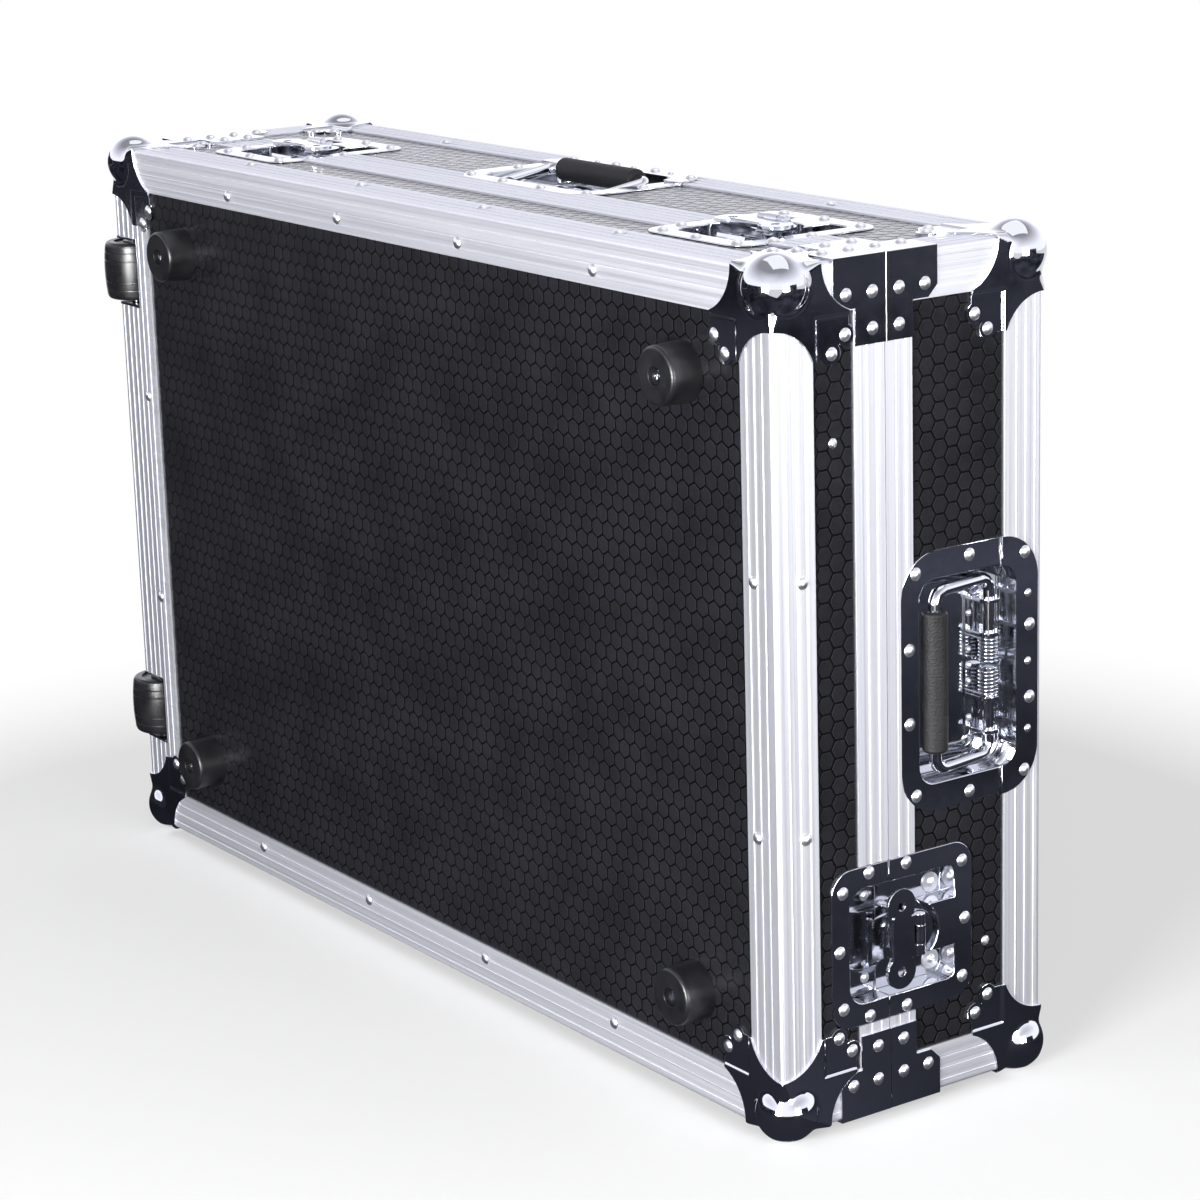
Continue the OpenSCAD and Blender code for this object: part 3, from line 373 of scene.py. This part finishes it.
def corner_plate():
    """One of the three plates of a ball corner: points, normals and triangles, with the third axis outwards-down.

    The plate is a plane domain cut out by its rim. Each point goes along its ray from the ball's centre onto the
    shell; past STEP_AT from both bent edges the plate steps down to the board.
    """
    rim = corner_rim(TURNED)
    stations = np.concatenate([np.arange(-SHELL, EDGE_FINE, GRID), np.linspace(EDGE_FINE, rim[0, 0], 6)])
    stations = np.unique(np.round(stations, 6))
    edge_u = np.stack([stations, np.full(len(stations), -SHELL)], -1)
    loop = np.concatenate([edge_u[:-1], rim, edge_u[:0:-1, ::-1][1:]])
    rows = []
    row_u = np.arange(-SHELL + GRID, GRID_END, GRID)
    for j, v in enumerate(np.arange(-SHELL + ROW, GRID_END, ROW)):
        rows.append(np.stack([row_u + SHIFT * (j % 2), np.full(len(row_u), v)], -1))
    inner = np.concatenate(rows)
    # Points lie close round the ball and the step, and far apart on the flat
    radial = np.linalg.norm(inner - BALL_IN, axis=-1)
    coarse = np.round(inner[:, 1] / ROW).astype(int) % 3 == 0
    coarse &= np.round(inner[:, 0] / SHIFT).astype(int) % 5 == 0
    stepped = np.abs(inner.min(-1) - STEP_AT - STEP / 2) < STEP
    gap = np.min(np.linalg.norm(inner[:, None] - loop[None], axis=-1), axis=1)
    inside = (inner.max(-1) < EAR_FAR + EAR_R) & (gap > RIM_GAP)
    inner = inner[inside & ((radial < ALL_KEPT) | coarse | stepped)]
    both = np.concatenate([loop, inner])
    ring = [list(range(len(loop)))]
    cut = delaunay_2d_cdt([Vector(p) for p in both], [], ring, 1, MEET)
    flat = np.array([tuple(p) for p in cut[0]])
    triangles = np.array(cut[2])
    p, normal = on_shell(np.concatenate([flat, np.full((len(flat), 1), -SHELL)], -1))
    drop = ear_drop(flat)
    p[:, 2] += drop
    lean = np.zeros_like(normal)
    for axis in (0, 1):
        ahead = flat.copy()
        ahead[:, axis] += TILT_STEP
        lean[:, axis] = (ear_drop(ahead) - drop) / TILT_STEP
    normal = normal + lean
    normal /= np.linalg.norm(normal, axis=-1, keepdims=True)
    # The rim turns over and goes down to what the plate lies on
    away = corner_rim(0.0) - rim
    away = np.concatenate([away, np.zeros((len(away), 1))], -1)
    away /= np.linalg.norm(away, axis=-1, keepdims=True)
    first = len(p)
    before = np.array([np.argmin(np.linalg.norm(flat - r, axis=-1)) for r in rim])
    rings, faces, normals = [p], [triangles], [normal]
    for inset, depth, tilt in RIM_TURN:
        line = corner_rim(inset)
        q, up = on_shell(np.concatenate([line, np.full((len(line), 1), -SHELL)], -1))
        q[:, 2] += ear_drop(line)
        rings.append(q - up * depth)
        normals.append(away * tilt + up * (1 - tilt))
        now = first + np.arange(len(line))
        first += len(line)
        a, b, c, d = before[:-1], before[1:], now[1:], now[:-1]
        faces.append(np.concatenate([np.stack([a, c, b], -1), np.stack([a, d, c], -1)]))
        before = now
    return np.concatenate(rings), np.concatenate(normals), np.concatenate(faces)


def ball_corners(name, y, inward, body, node):
    """Four pressed ball corners on one big face: the plate three times each, turned to the corner's three faces."""
    p, n, f = corner_plate()
    points, normals, faces, count = [], [], [], 0
    for x, sx in ((LEFT, 1), (RIGHT, -1)):
        for z, sz in ((BOTTOM, 1), (TOP, -1)):
            for turn in range(3):
                order = np.roll(np.arange(3), turn)
                q, m = p[:, order], n[:, order]
                flip = np.array([sx, inward, sz], float)
                points.append(np.array([x, y, z]) + q * flip * MM)
                normals.append(m * flip)
                faces.append(f + count)
                count += len(p)
    points, normals, faces = (np.concatenate(a) for a in (points, normals, faces))
    a, b, c = (points[faces[:, i]] for i in range(3))
    facing = np.cross(b - a, c - a)
    wrong = np.einsum("ij,ij->i", facing, normals[faces].sum(1)) < 0
    faces[wrong] = faces[wrong][:, ::-1]
    solid = np.linalg.norm(facing, axis=-1) > LEAST_AREA
    made = surface(name, points, faces[solid].tolist(), ball_steel, body)
    made.data.normals_split_custom_set_from_vertices(normals.tolist())
    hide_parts(node)


ball_corners("tray_pressed_corners", FEET_FACE, 1, "tray", "tray_ball_corners")
ball_corners("lid_pressed_corners", LID_FACE, -1, "lid", "lid_ball_corners")


# Honeycomb of the laminate: across flats, row to row, and each ring's apothem and height over the groove. The rim is
# there twice, once for the groove's side and once for the top, so that their shading stays apart
CELL_PITCH, ROW_PITCH = 11.3 * MM, 9.79 * MM
CELL_RINGS = ((4.95 * MM, 0.0), (4.76 * MM, 0.12 * MM), (4.76 * MM, 0.12 * MM), (4.2 * MM, 0.15 * MM),
              (2.2 * MM, 0.19 * MM))
RIM_RING = 1


def honeycomb(name, body, axes, level, window, holes=()):
    """Hexagonal cells pressed up from a board's face.

    axes are the indices of the axis across the flats, the axis through the points and the axis outwards. level is the
    board face's place on that last axis, and its side of the middle says which way is outwards. window is the lowest
    and highest place on the first two axes, and holes are such windows without cells. A cell's corner k at ring r is
    centre + apothem_r / cos 30 * (sin 60k, cos 60k), raised by height_r.
    """
    across, through, out = axes
    low_a, high_a, low_t, high_t = window
    rows = np.arange(math.ceil(low_t / ROW_PITCH), math.floor(high_t / ROW_PITCH) + 1)
    columns = np.arange(math.floor(low_a / CELL_PITCH), math.ceil(high_a / CELL_PITCH) + 1)
    row, column = np.meshgrid(rows, columns, indexing="ij")
    a = (column + 0.5 * (row % 2)) * CELL_PITCH
    t = row * ROW_PITCH
    keep = (a > low_a) & (a < high_a)
    for hole in holes:
        keep &= ~((a > hole[0]) & (a < hole[1]) & (t > hole[2]) & (t < hole[3]))
    a, t = a[keep], t[keep]
    side = 1.0 if level > CASE_MIDDLE[out] else -1.0
    angle = np.radians(60.0 * np.arange(6))
    points = np.zeros((len(a), len(CELL_RINGS), 6, 3))
    for ring, (apothem, height) in enumerate(CELL_RINGS):
        radius = apothem / math.cos(math.radians(30))
        points[:, ring, :, across] = a[:, None] + radius * np.sin(angle)
        points[:, ring, :, through] = t[:, None] + radius * np.cos(angle)
        points[:, ring, :, out] = level + side * height
    turn = np.linalg.det(np.eye(3)[[through, across, out]]) * side
    order = list(range(6)) if turn > 0 else list(range(5, -1, -1))
    one = []
    for r in range(len(CELL_RINGS) - 1):
        for k, n in zip(order, order[1:] + order[:1]):
            if r != RIM_RING:
                one.append([6 * r + k, 6 * r + n, 6 * (r + 1) + n, 6 * (r + 1) + k])
    one.append([6 * (len(CELL_RINGS) - 1) + k for k in order])
    size = 6 * len(CELL_RINGS)
    faces = [[c * size + i for i in face] for c in range(len(a)) for face in one]
    made = surface(name, points.reshape(-1, 3), faces, laminate_cells, body, smooth=False)
    # The groove sides get the near-black copy of the film: painted shade in the grooves
    made.data.materials.append(laminate_groove_shade)
    slope = np.tile([1] * 6 + [0] * (len(one) - 6), len(a))
    made.data.polygons.foreach_set("material_index", slope)
    made.data.polygons.foreach_set("use_smooth", slope == 0)


def merged_copy(name, node):
    """A copy of a CAD node as one closed mesh with its flat faces whole again, and its open bmesh."""
    mesh = nodes[node].data.copy()
    mesh.name = name
    work = bmesh.new()
    work.from_mesh(mesh)
    bmesh.ops.remove_doubles(work, verts=work.verts, dist=MERGE)
    bmesh.ops.dissolve_limit(work, angle_limit=FLAT, verts=work.verts, edges=work.edges)
    return mesh, work


def show_copy(mesh, work, mat, body, node):
    """Closes the bmesh and puts the copy in the CAD node's place."""
    work.to_mesh(mesh)
    work.free()
    mesh.polygons.foreach_set("use_smooth", np.ones(len(mesh.polygons), bool))
    mesh.materials.clear()
    mesh.materials.append(mat)
    made = bpy.data.objects.new(mesh.name, mesh)
    scene.collection.objects.link(made)
    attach(made, body)
    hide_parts(node)
    even = made.modifiers.new("even", "WEIGHTED_NORMAL")
    even.weight = NORMAL_WEIGHT
    return made


# Bends in millimetres: a recess's lip, the corner of its floor, every other seam, and foam
LIP_BEND, FLOOR_BEND, SEAM_BEND, FOAM_BEND = 1.1, 1.6, 0.6, 1.2
# Two faces meet sharply when they bend by more than SHARP, and a seam shorter than SEAM_LEAST keeps its edge
SHARP, SEAM_LEAST = math.radians(50), 2 * MM
# How far an edge may lie off a recess's level, and by how much a recess's outline is widened to find its edges
LEVEL_SLACK, RECESS_PAD = 0.06 * MM, 0.5 * MM


def is_sharp(edge):
    """Whether two faces meet at an edge with a bend of more than SHARP."""
    return len(edge.link_faces) == 2 and edge.calc_face_angle(0) > SHARP


def bend_edges(work, edges, radius, segments=4, clamp=True):
    """Rounds edges by a radius in millimetres. A clamp keeps it under the shortest edge."""
    bmesh.ops.bevel(work, geom=edges, offset=radius * MM, segments=segments, profile=0.5, affect="EDGES",
                    clamp_overlap=clamp)


def pressed_dish(name, node, body, recesses, floor):
    """A pressed steel dish, with the round lip and the round floor corner that the press leaves.

    recesses lists each recess as its lowest and highest corner on the two axes in the plate, with the outward axis,
    its side and the level of the plate's top. floor is the depth of its floor in millimetres.
    """
    mesh, work = merged_copy(name, node)
    for wanted, radius in ((0.0, LIP_BEND), (floor, FLOOR_BEND)):
        edges = []
        for edge in work.edges:
            if not is_sharp(edge):
                continue
            ends = [v.co for v in edge.verts]
            for axis, side, level, low, high in recesses:
                flat = all(abs((level - p[axis]) * side - wanted * MM) < LEVEL_SLACK for p in ends)
                others = [i for i in range(3) if i != axis]
                if flat and all(low[k] < p[i] < high[k] for k, i in enumerate(others) for p in ends):
                    edges.append(edge)
        bend_edges(work, edges, radius)
    seams = [e for e in work.edges if is_sharp(e) and e.calc_length() > SEAM_LEAST]
    bend_edges(work, seams, SEAM_BEND, 3, clamp=False)
    show_copy(mesh, work, plate_steel, body, node)


def recess_of(axis, side, level, middle, half):
    """One entry for pressed_dish, from the recess's middle and its half size in millimetres on the plate's axes."""
    others = [i for i in range(3) if i != axis]
    low = [middle[i] - half[i] * MM - RECESS_PAD for i in others]
    high = [middle[i] + half[i] * MM + RECESS_PAD for i in others]
    return axis, side, level - side * PLATE_TOP, low, high


# Recesses in millimetres: the latches' reach 30 into the tray and 52 into the lid, and the handles' are 75 by 127.
# Half sizes are given for X, Y and Z, and the one outwards isn't used. A latch's recess lies LATCH_OFF past the parting
# line, and a handle's lies HANDLE_OFF off the middle of its plate
PLATE_TOP = 0.2 * MM
LATCH_FLOOR, HANDLE_FLOOR = 14.0, 16.0
LATCH_HALF, HANDLE_HALF = (36.5, 41.0, 36.5), (63.5, 37.5, 63.5)
LATCH_OFF, HANDLE_OFF = 11 * MM, 1.5 * MM
latch_places = []
for name, axis, side, level in (("front_left", 2, 1, TOP), ("front_right", 2, 1, TOP), ("right_end", 0, 1, RIGHT),
                                ("left_end", 0, -1, LEFT)):
    low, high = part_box(name + "_spindle")
    middle = (low + high) / 2
    middle[1] = PARTING + LATCH_OFF
    latch_places.append(recess_of(axis, side, level, middle, LATCH_HALF))
pressed_dish("tray_pressed_dishes", "tray_latch_dishes", "tray", latch_places, LATCH_FLOOR)
pressed_dish("lid_pressed_dishes", "lid_latch_dishes", "lid", latch_places, LATCH_FLOOR)
for name, axis, side, level in (("front", 2, 1, TOP), ("right", 0, 1, RIGHT), ("left", 0, -1, LEFT)):
    node = name + "_handle_dish"
    low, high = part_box(node)
    middle = (low + high) / 2
    middle[1] -= HANDLE_OFF
    place = recess_of(axis, side, level, middle, HANDLE_HALF)
    pressed_dish(name + "_pressed_cup", node, "lid", [place], HANDLE_FLOOR)


def foam_lining(name, node, body):
    """Foam cut with a knife and glued in: its free edges round over, and its broad faces keep their flatness."""
    mesh, work = merged_copy(name, node)
    bend_edges(work, [e for e in work.edges if is_sharp(e)], FOAM_BEND, 3)
    made = show_copy(mesh, work, foam, body, node)


foam_lining("tray_floor_foam", "tray_foam_floor", "tray")
foam_lining("tray_side_foam", "tray_foam_sides", "tray")
foam_lining("lid_top_foam", "lid_foam_top", "lid")
foam_lining("lid_side_foam", "lid_foam_sides", "lid")

# Return springs: wire and coil in millimetres, along the hinge lines of the bails
WIRE_R, COIL_R, COIL_PITCH, COIL_TURNS, COIL_FROM, LEG_END = 0.9, 5.5, 2.3, 6.5, 2.6, -6.9
LEG_STEPS = 5


def wound_wire(sides=12, per_turn=40):
    """One spring: a leg up to the coil, the coil, and a leg down again, as points and faces.

    The coil is (R cos a, y0 + pitch a / 360, R sin a). The legs meet it in its own direction, so the wire is smooth.
    """
    leg = np.linspace(LEG_END, 0, LEG_STEPS + 1)[:-1]
    count = int(COIL_TURNS * per_turn)
    a = np.radians(np.arange(count + 1) * 360 / per_turn)
    coil = np.stack([COIL_R * np.cos(a), COIL_FROM + COIL_PITCH * a / (2 * np.pi), COIL_R * np.sin(a)], -1)
    up = np.stack([np.full(LEG_STEPS, COIL_R), np.full(LEG_STEPS, COIL_FROM), leg], -1)
    down = np.stack([np.full(LEG_STEPS, coil[-1, 0]), np.full(LEG_STEPS, coil[-1, 1]), leg[::-1]], -1)
    path = np.concatenate([up, coil, down])
    along = np.gradient(path, axis=0)
    along /= np.linalg.norm(along, axis=-1, keepdims=True)
    side = np.cross(along, [0, 1, 0])
    side /= np.linalg.norm(side, axis=-1, keepdims=True)
    over = np.cross(side, along)
    turn = np.radians(np.arange(sides) * 360 / sides)[None, :, None]
    normal = np.cos(turn) * side[:, None] + np.sin(turn) * over[:, None]
    points = path[:, None] + WIRE_R * normal
    i, k = np.meshgrid(np.arange(len(path) - 1), np.arange(sides), indexing="ij")
    a, n = i * sides + k, i * sides + (k + 1) % sides
    faces = np.stack([a, n, n + sides, a + sides], -1).reshape(-1, 4)
    return points.reshape(-1, 3), faces


def return_springs():
    """The six springs, two to a handle, put on the hinge lines that the joints give."""
    points, faces, count = [], [], 0
    wire, quads = wound_wire()
    for joint in frame["joints"]:
        if not joint["name"].endswith("_handle_swing"):
            continue
        anchor, axis = np.array(joint["pos_m"]), np.array(joint["axis"], float)
        out = {"front": (0, 0, 1), "right": (1, 0, 0), "left": (-1, 0, 0)}[joint["name"].split("_")[0]]
        out = np.array(out, float)
        for half in (1, -1):
            basis = np.stack([np.cross(axis, out), half * axis, out])
            points.append(anchor + wire @ basis * MM)
            turned = quads if np.linalg.det(basis) > 0 else quads[:, ::-1]
            faces.append(turned + count)
            count += len(wire)
    faces = np.concatenate(faces).tolist()
    made = surface("return_springs", np.concatenate(points), faces, spring_wire, "lid")
    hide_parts("handle_springs")


return_springs()

# The boards lie WALL deep in the edging, and the honeycomb's outermost cells are centred UNDER or PROFILE from its edge
WALL, UNDER, PROFILE = 1.5 * MM, 26 * MM, 18 * MM
# A latch's hole from the parting line into tray and lid and to each side, and what the other holes are grown by
LATCH_TRAY, LATCH_LID, LATCH_SIDE = 37 * MM, 59 * MM, 44 * MM
WELL_PAD, WHEEL_PAD, HANDLE_PAD = 14 * MM, 8 * MM, -12 * MM
tray_side = (FEET_FACE + UNDER, PARTING - PROFILE)
lid_side = (PARTING + PROFILE, LID_FACE - UNDER)
long_side = (LEFT + UNDER, RIGHT - UNDER)
tall_side = (BOTTOM + UNDER, TOP - UNDER)


def pocket(node, pad, axes):
    """The rectangle that a node's box covers on two axes, grown by pad metres, as a hole in the honeycomb."""
    low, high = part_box(node)
    return (low[axes[0]] - pad, high[axes[0]] + pad, low[axes[1]] - pad, high[axes[1]] + pad)


def latch_pocket(spindle, axes):
    """The hole for a latch's dish, on the axis of the parting line and the axis across it."""
    low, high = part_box(spindle)
    along = next(i for i in axes if i != 1)
    middle = (low[along] + high[along]) / 2
    spans = {1: (PARTING - LATCH_TRAY, PARTING + LATCH_LID), along: (middle - LATCH_SIDE, middle + LATCH_SIDE)}
    return spans[axes[0]] + spans[axes[1]]


end_axes, face_axes, side_axes = (2, 1, 0), (0, 2, 1), (0, 1, 2)
wheels = ("upper_wheel", "lower_wheel")
wheel_holes = [pocket(node, WELL_PAD, end_axes) for node in wheels]
for body, span in (("tray", tray_side), ("lid", lid_side)):
    honeycomb(body + "_back_cells", body, side_axes, BOTTOM + WALL, long_side + span)
    holes = [latch_pocket(n, side_axes) for n in ("front_left_spindle", "front_right_spindle")]
    holes.append(pocket("front_handle_dish", HANDLE_PAD, side_axes))
    honeycomb(body + "_front_cells", body, side_axes, TOP - WALL, long_side + span, holes)
    holes = [latch_pocket("right_end_spindle", end_axes), pocket("right_handle_dish", HANDLE_PAD, end_axes)]
    honeycomb(body + "_right_cells", body, end_axes, RIGHT - WALL, tall_side + span, holes)
    holes = [latch_pocket("left_end_spindle", end_axes), pocket("left_handle_dish", HANDLE_PAD, end_axes)]
    honeycomb(body + "_left_cells", body, end_axes, LEFT + WALL, tall_side + span, holes + wheel_holes)
holes = [pocket(node, WHEEL_PAD, face_axes) for node in wheels]
honeycomb("tray_feet_face_cells", "tray", face_axes, FEET_FACE + WALL, long_side + tall_side, holes)
honeycomb("lid_top_cells", "lid", face_axes, LID_FACE - WALL, long_side + tall_side)


# Camera where the photograph was taken from, in the frame of the parts
SENSOR, LENS, SHIFT = 36.0, 102.9, -0.0014
camera_data = bpy.data.cameras.new("camera")
camera_data.sensor_width = SENSOR
camera_data.lens = LENS
camera_data.shift_x = SHIFT
camera = bpy.data.objects.new("camera", camera_data)
scene.collection.objects.link(camera)
AZIMUTH, ELEVATION, ROLL = (math.radians(a) for a in (55.28, 14.75, -1.68))
CAMERA_AT = Vector((1.915, -1.2633, 0.8469))
turn = Matrix.Rotation(AZIMUTH, 4, "Z") @ Matrix.Rotation(math.pi / 2 - ELEVATION, 4, "X")
camera.matrix_world = Matrix.Translation(CAMERA_AT) @ turn @ Matrix.Rotation(ROLL, 4, "Z")
scene.camera = camera


def area_light(name, at, towards, size, power):
    """A white softbox of a size in metres and a power in watts, turned towards a point."""
    data = bpy.data.lights.new(name, "AREA")
    data.shape = "RECTANGLE"
    data.size, data.size_y = size
    data.energy = power
    lamp = bpy.data.objects.new(name, data)
    scene.collection.objects.link(lamp)
    aim = Vector(towards) - Vector(at)
    lamp.matrix_world = Matrix.Translation(at) @ aim.to_track_quat("-Z", "Y").to_matrix().to_4x4()


area_light("top_softbox", (0.1, 0.5, 2.4), (0, 0, 0.2), (2.4, 1.6), 12)
area_light("end_softbox", (2.7, 0.1, 0.5), (0.4, 0, 0.28), (0.9, 0.9), 55)
area_light("front_softbox", (1.25, -2.2, 0.5), (0.1, -0.1, 0.28), (0.9, 0.9), 148)


# Patches of painted reflected light on the flags: features per metre and the darkest and palest share of the colour
REFLECTED_PATCH_SCALE, REFLECTED_PATCH_LOW, REFLECTED_PATCH_HIGH = 1.6, 0.35, 2.0


def card(name, corner, first, second, colour):
    """A dark glowing card that only mirrors see: a painted reflection of the unlit part of the studio, with patches of
    painted reflected light.
    """
    mesh = bpy.data.meshes.new(name)
    corner, first, second = Vector(corner), Vector(first), Vector(second)
    mesh.from_pydata([corner, corner + first, corner + first + second, corner + second], [], [(0, 1, 2, 3)])
    mat = bpy.data.materials.new(name)
    mat.use_nodes = True
    mat.node_tree.nodes.clear()
    tree = mat.node_tree
    reflected_patches = spread(tree, noise(tree, REFLECTED_PATCH_SCALE, 2), REFLECTED_PATCH_LOW, REFLECTED_PATCH_HIGH, 0.35, 0.7)
    glow = add(tree, "Emission", [("Color", linear(colour)), ("Strength", reflected_patches)])
    add(tree, "OutputMaterial", [("Surface", glow.outputs[0])])
    mesh.materials.append(mat)
    made = bpy.data.objects.new(name, mesh)
    scene.collection.objects.link(made)
    made.visible_camera = made.visible_diffuse = made.visible_shadow = False
    made.visible_transmission = made.visible_volume_scatter = False


# Colours of the painted dark reflections that the flags give
SIDE_FLAG, FRONT_FLAG, FLAG_TALL = "#383a44", "#2a2b33", (0, 0, 0.9)
card("right_floor_flag", (0.36, -0.5, 0.004), (3.0, 0, 0), (0, 3.4, 0), SIDE_FLAG)
card("right_wall_flag", (3.4, -0.55, 0), (0, 3.4, 0), FLAG_TALL, SIDE_FLAG)
card("front_floor_flag", (-3.2, -3.6, 0.005), (4.4, 0, 0), (0, 3.54, 0), FRONT_FLAG)
card("left_wall_flag", (-3.3, -3.6, 0), (0, 3.7, 0), FLAG_TALL, FRONT_FLAG)
card("front_wall_flag", (-3.2, -3.5, 0), (4.4, 0, 0), FLAG_TALL, FRONT_FLAG)


def eye_rays(tree):
    """Two sockets: 1 for the camera's own rays, and 1 for rays that the camera, a mirror or glass sends."""
    path = add(tree, "LightPath")
    camera_ray, seen = path.outputs["Is Camera Ray"], path.outputs["Is Camera Ray"]
    for kind in ("Is Glossy Ray", "Is Transmission Ray"):
        seen = add(tree, "Math", [(0, seen), (1, path.outputs[kind])], operation="MAXIMUM").outputs[0]
    return camera_ray, seen


# World: white for the camera. Mirrors see it bright near the horizon and grey overhead, and diffuse surfaces get a
# soft even light
EVEN_LIGHT, HORIZON, OVERHEAD = 0.45, 1.62, 0.45
world = bpy.data.worlds.new("studio")
scene.world = world
world.use_nodes = True
tree = world.node_tree
tree.nodes.clear()
camera_ray, seen = eye_rays(tree)
light = add(tree, "Background", [("Color", linear("#ffffff")), ("Strength", EVEN_LIGHT)])
direction = add(tree, "SeparateXYZ", [(0, add(tree, "TexCoord").outputs["Generated"])]).outputs["Z"]
ceiling = spread(tree, direction, HORIZON, OVERHEAD, 0.26, 0.8)
mirrored = add(tree, "Mix", [(0, camera_ray), (2, ceiling), (3, 1.0)])
tint = blend_colours(tree, camera_ray, "#f3f3fc", "#ffffff")
white = add(tree, "Background", [("Color", tint), ("Strength", mirrored.outputs[0])])
mixed = add(tree, "MixShader", [(0, seen), (1, light.outputs[0]), (2, white.outputs[0])])
add(tree, "OutputWorld", [("Surface", mixed.outputs[0])])

# Floor: a pale matte sheet that fades to the studio's white away from the case, and glows a little for the camera
REACH, FADE_FROM, FADE_TO, CAMERA_SHARE = 12.0, 0.35, 0.88, 0.42
floor_mesh = bpy.data.meshes.new("floor")
corners = [(-REACH, -REACH, 0), (REACH, -REACH, 0), (REACH, REACH, 0), (-REACH, REACH, 0)]
floor_mesh.from_pydata(corners, [], [(0, 1, 2, 3)])
floor = bpy.data.objects.new("floor", floor_mesh)
scene.collection.objects.link(floor)
paper = bpy.data.materials.new("matte_paper")
paper.use_nodes = True
tree = paper.node_tree
tree.nodes.clear()
away = add(tree, "VectorMath", [(0, add(tree, "TexCoord").outputs["Object"])], operation="LENGTH").outputs["Value"]
fade = add(tree, "MapRange", [("Value", away), ("From Min", FADE_FROM), ("From Max", FADE_TO)],
           interpolation_type="SMOOTHSTEP")
camera_ray, seen = eye_rays(tree)
far = add(tree, "Math", [(0, seen), (1, fade.outputs[0])], operation="MULTIPLY")
matte = add(tree, "BsdfDiffuse", [("Color", linear("#d6d6d6"))])
glow = add(tree, "Emission", [("Color", linear("#ffffff")), ("Strength", 1.0)])
near = add(tree, "Math", [(0, camera_ray), (1, CAMERA_SHARE)], operation="MULTIPLY")
share = add(tree, "Math", [(0, far.outputs[0]), (1, near.outputs[0])], operation="MAXIMUM")
mixed = add(tree, "MixShader", [(0, share.outputs[0]), (1, matte.outputs[0]), (2, glow.outputs[0])])
add(tree, "OutputMaterial", [("Surface", mixed.outputs[0])])
floor_mesh.materials.append(paper)

scene.view_settings.view_transform = "Standard"
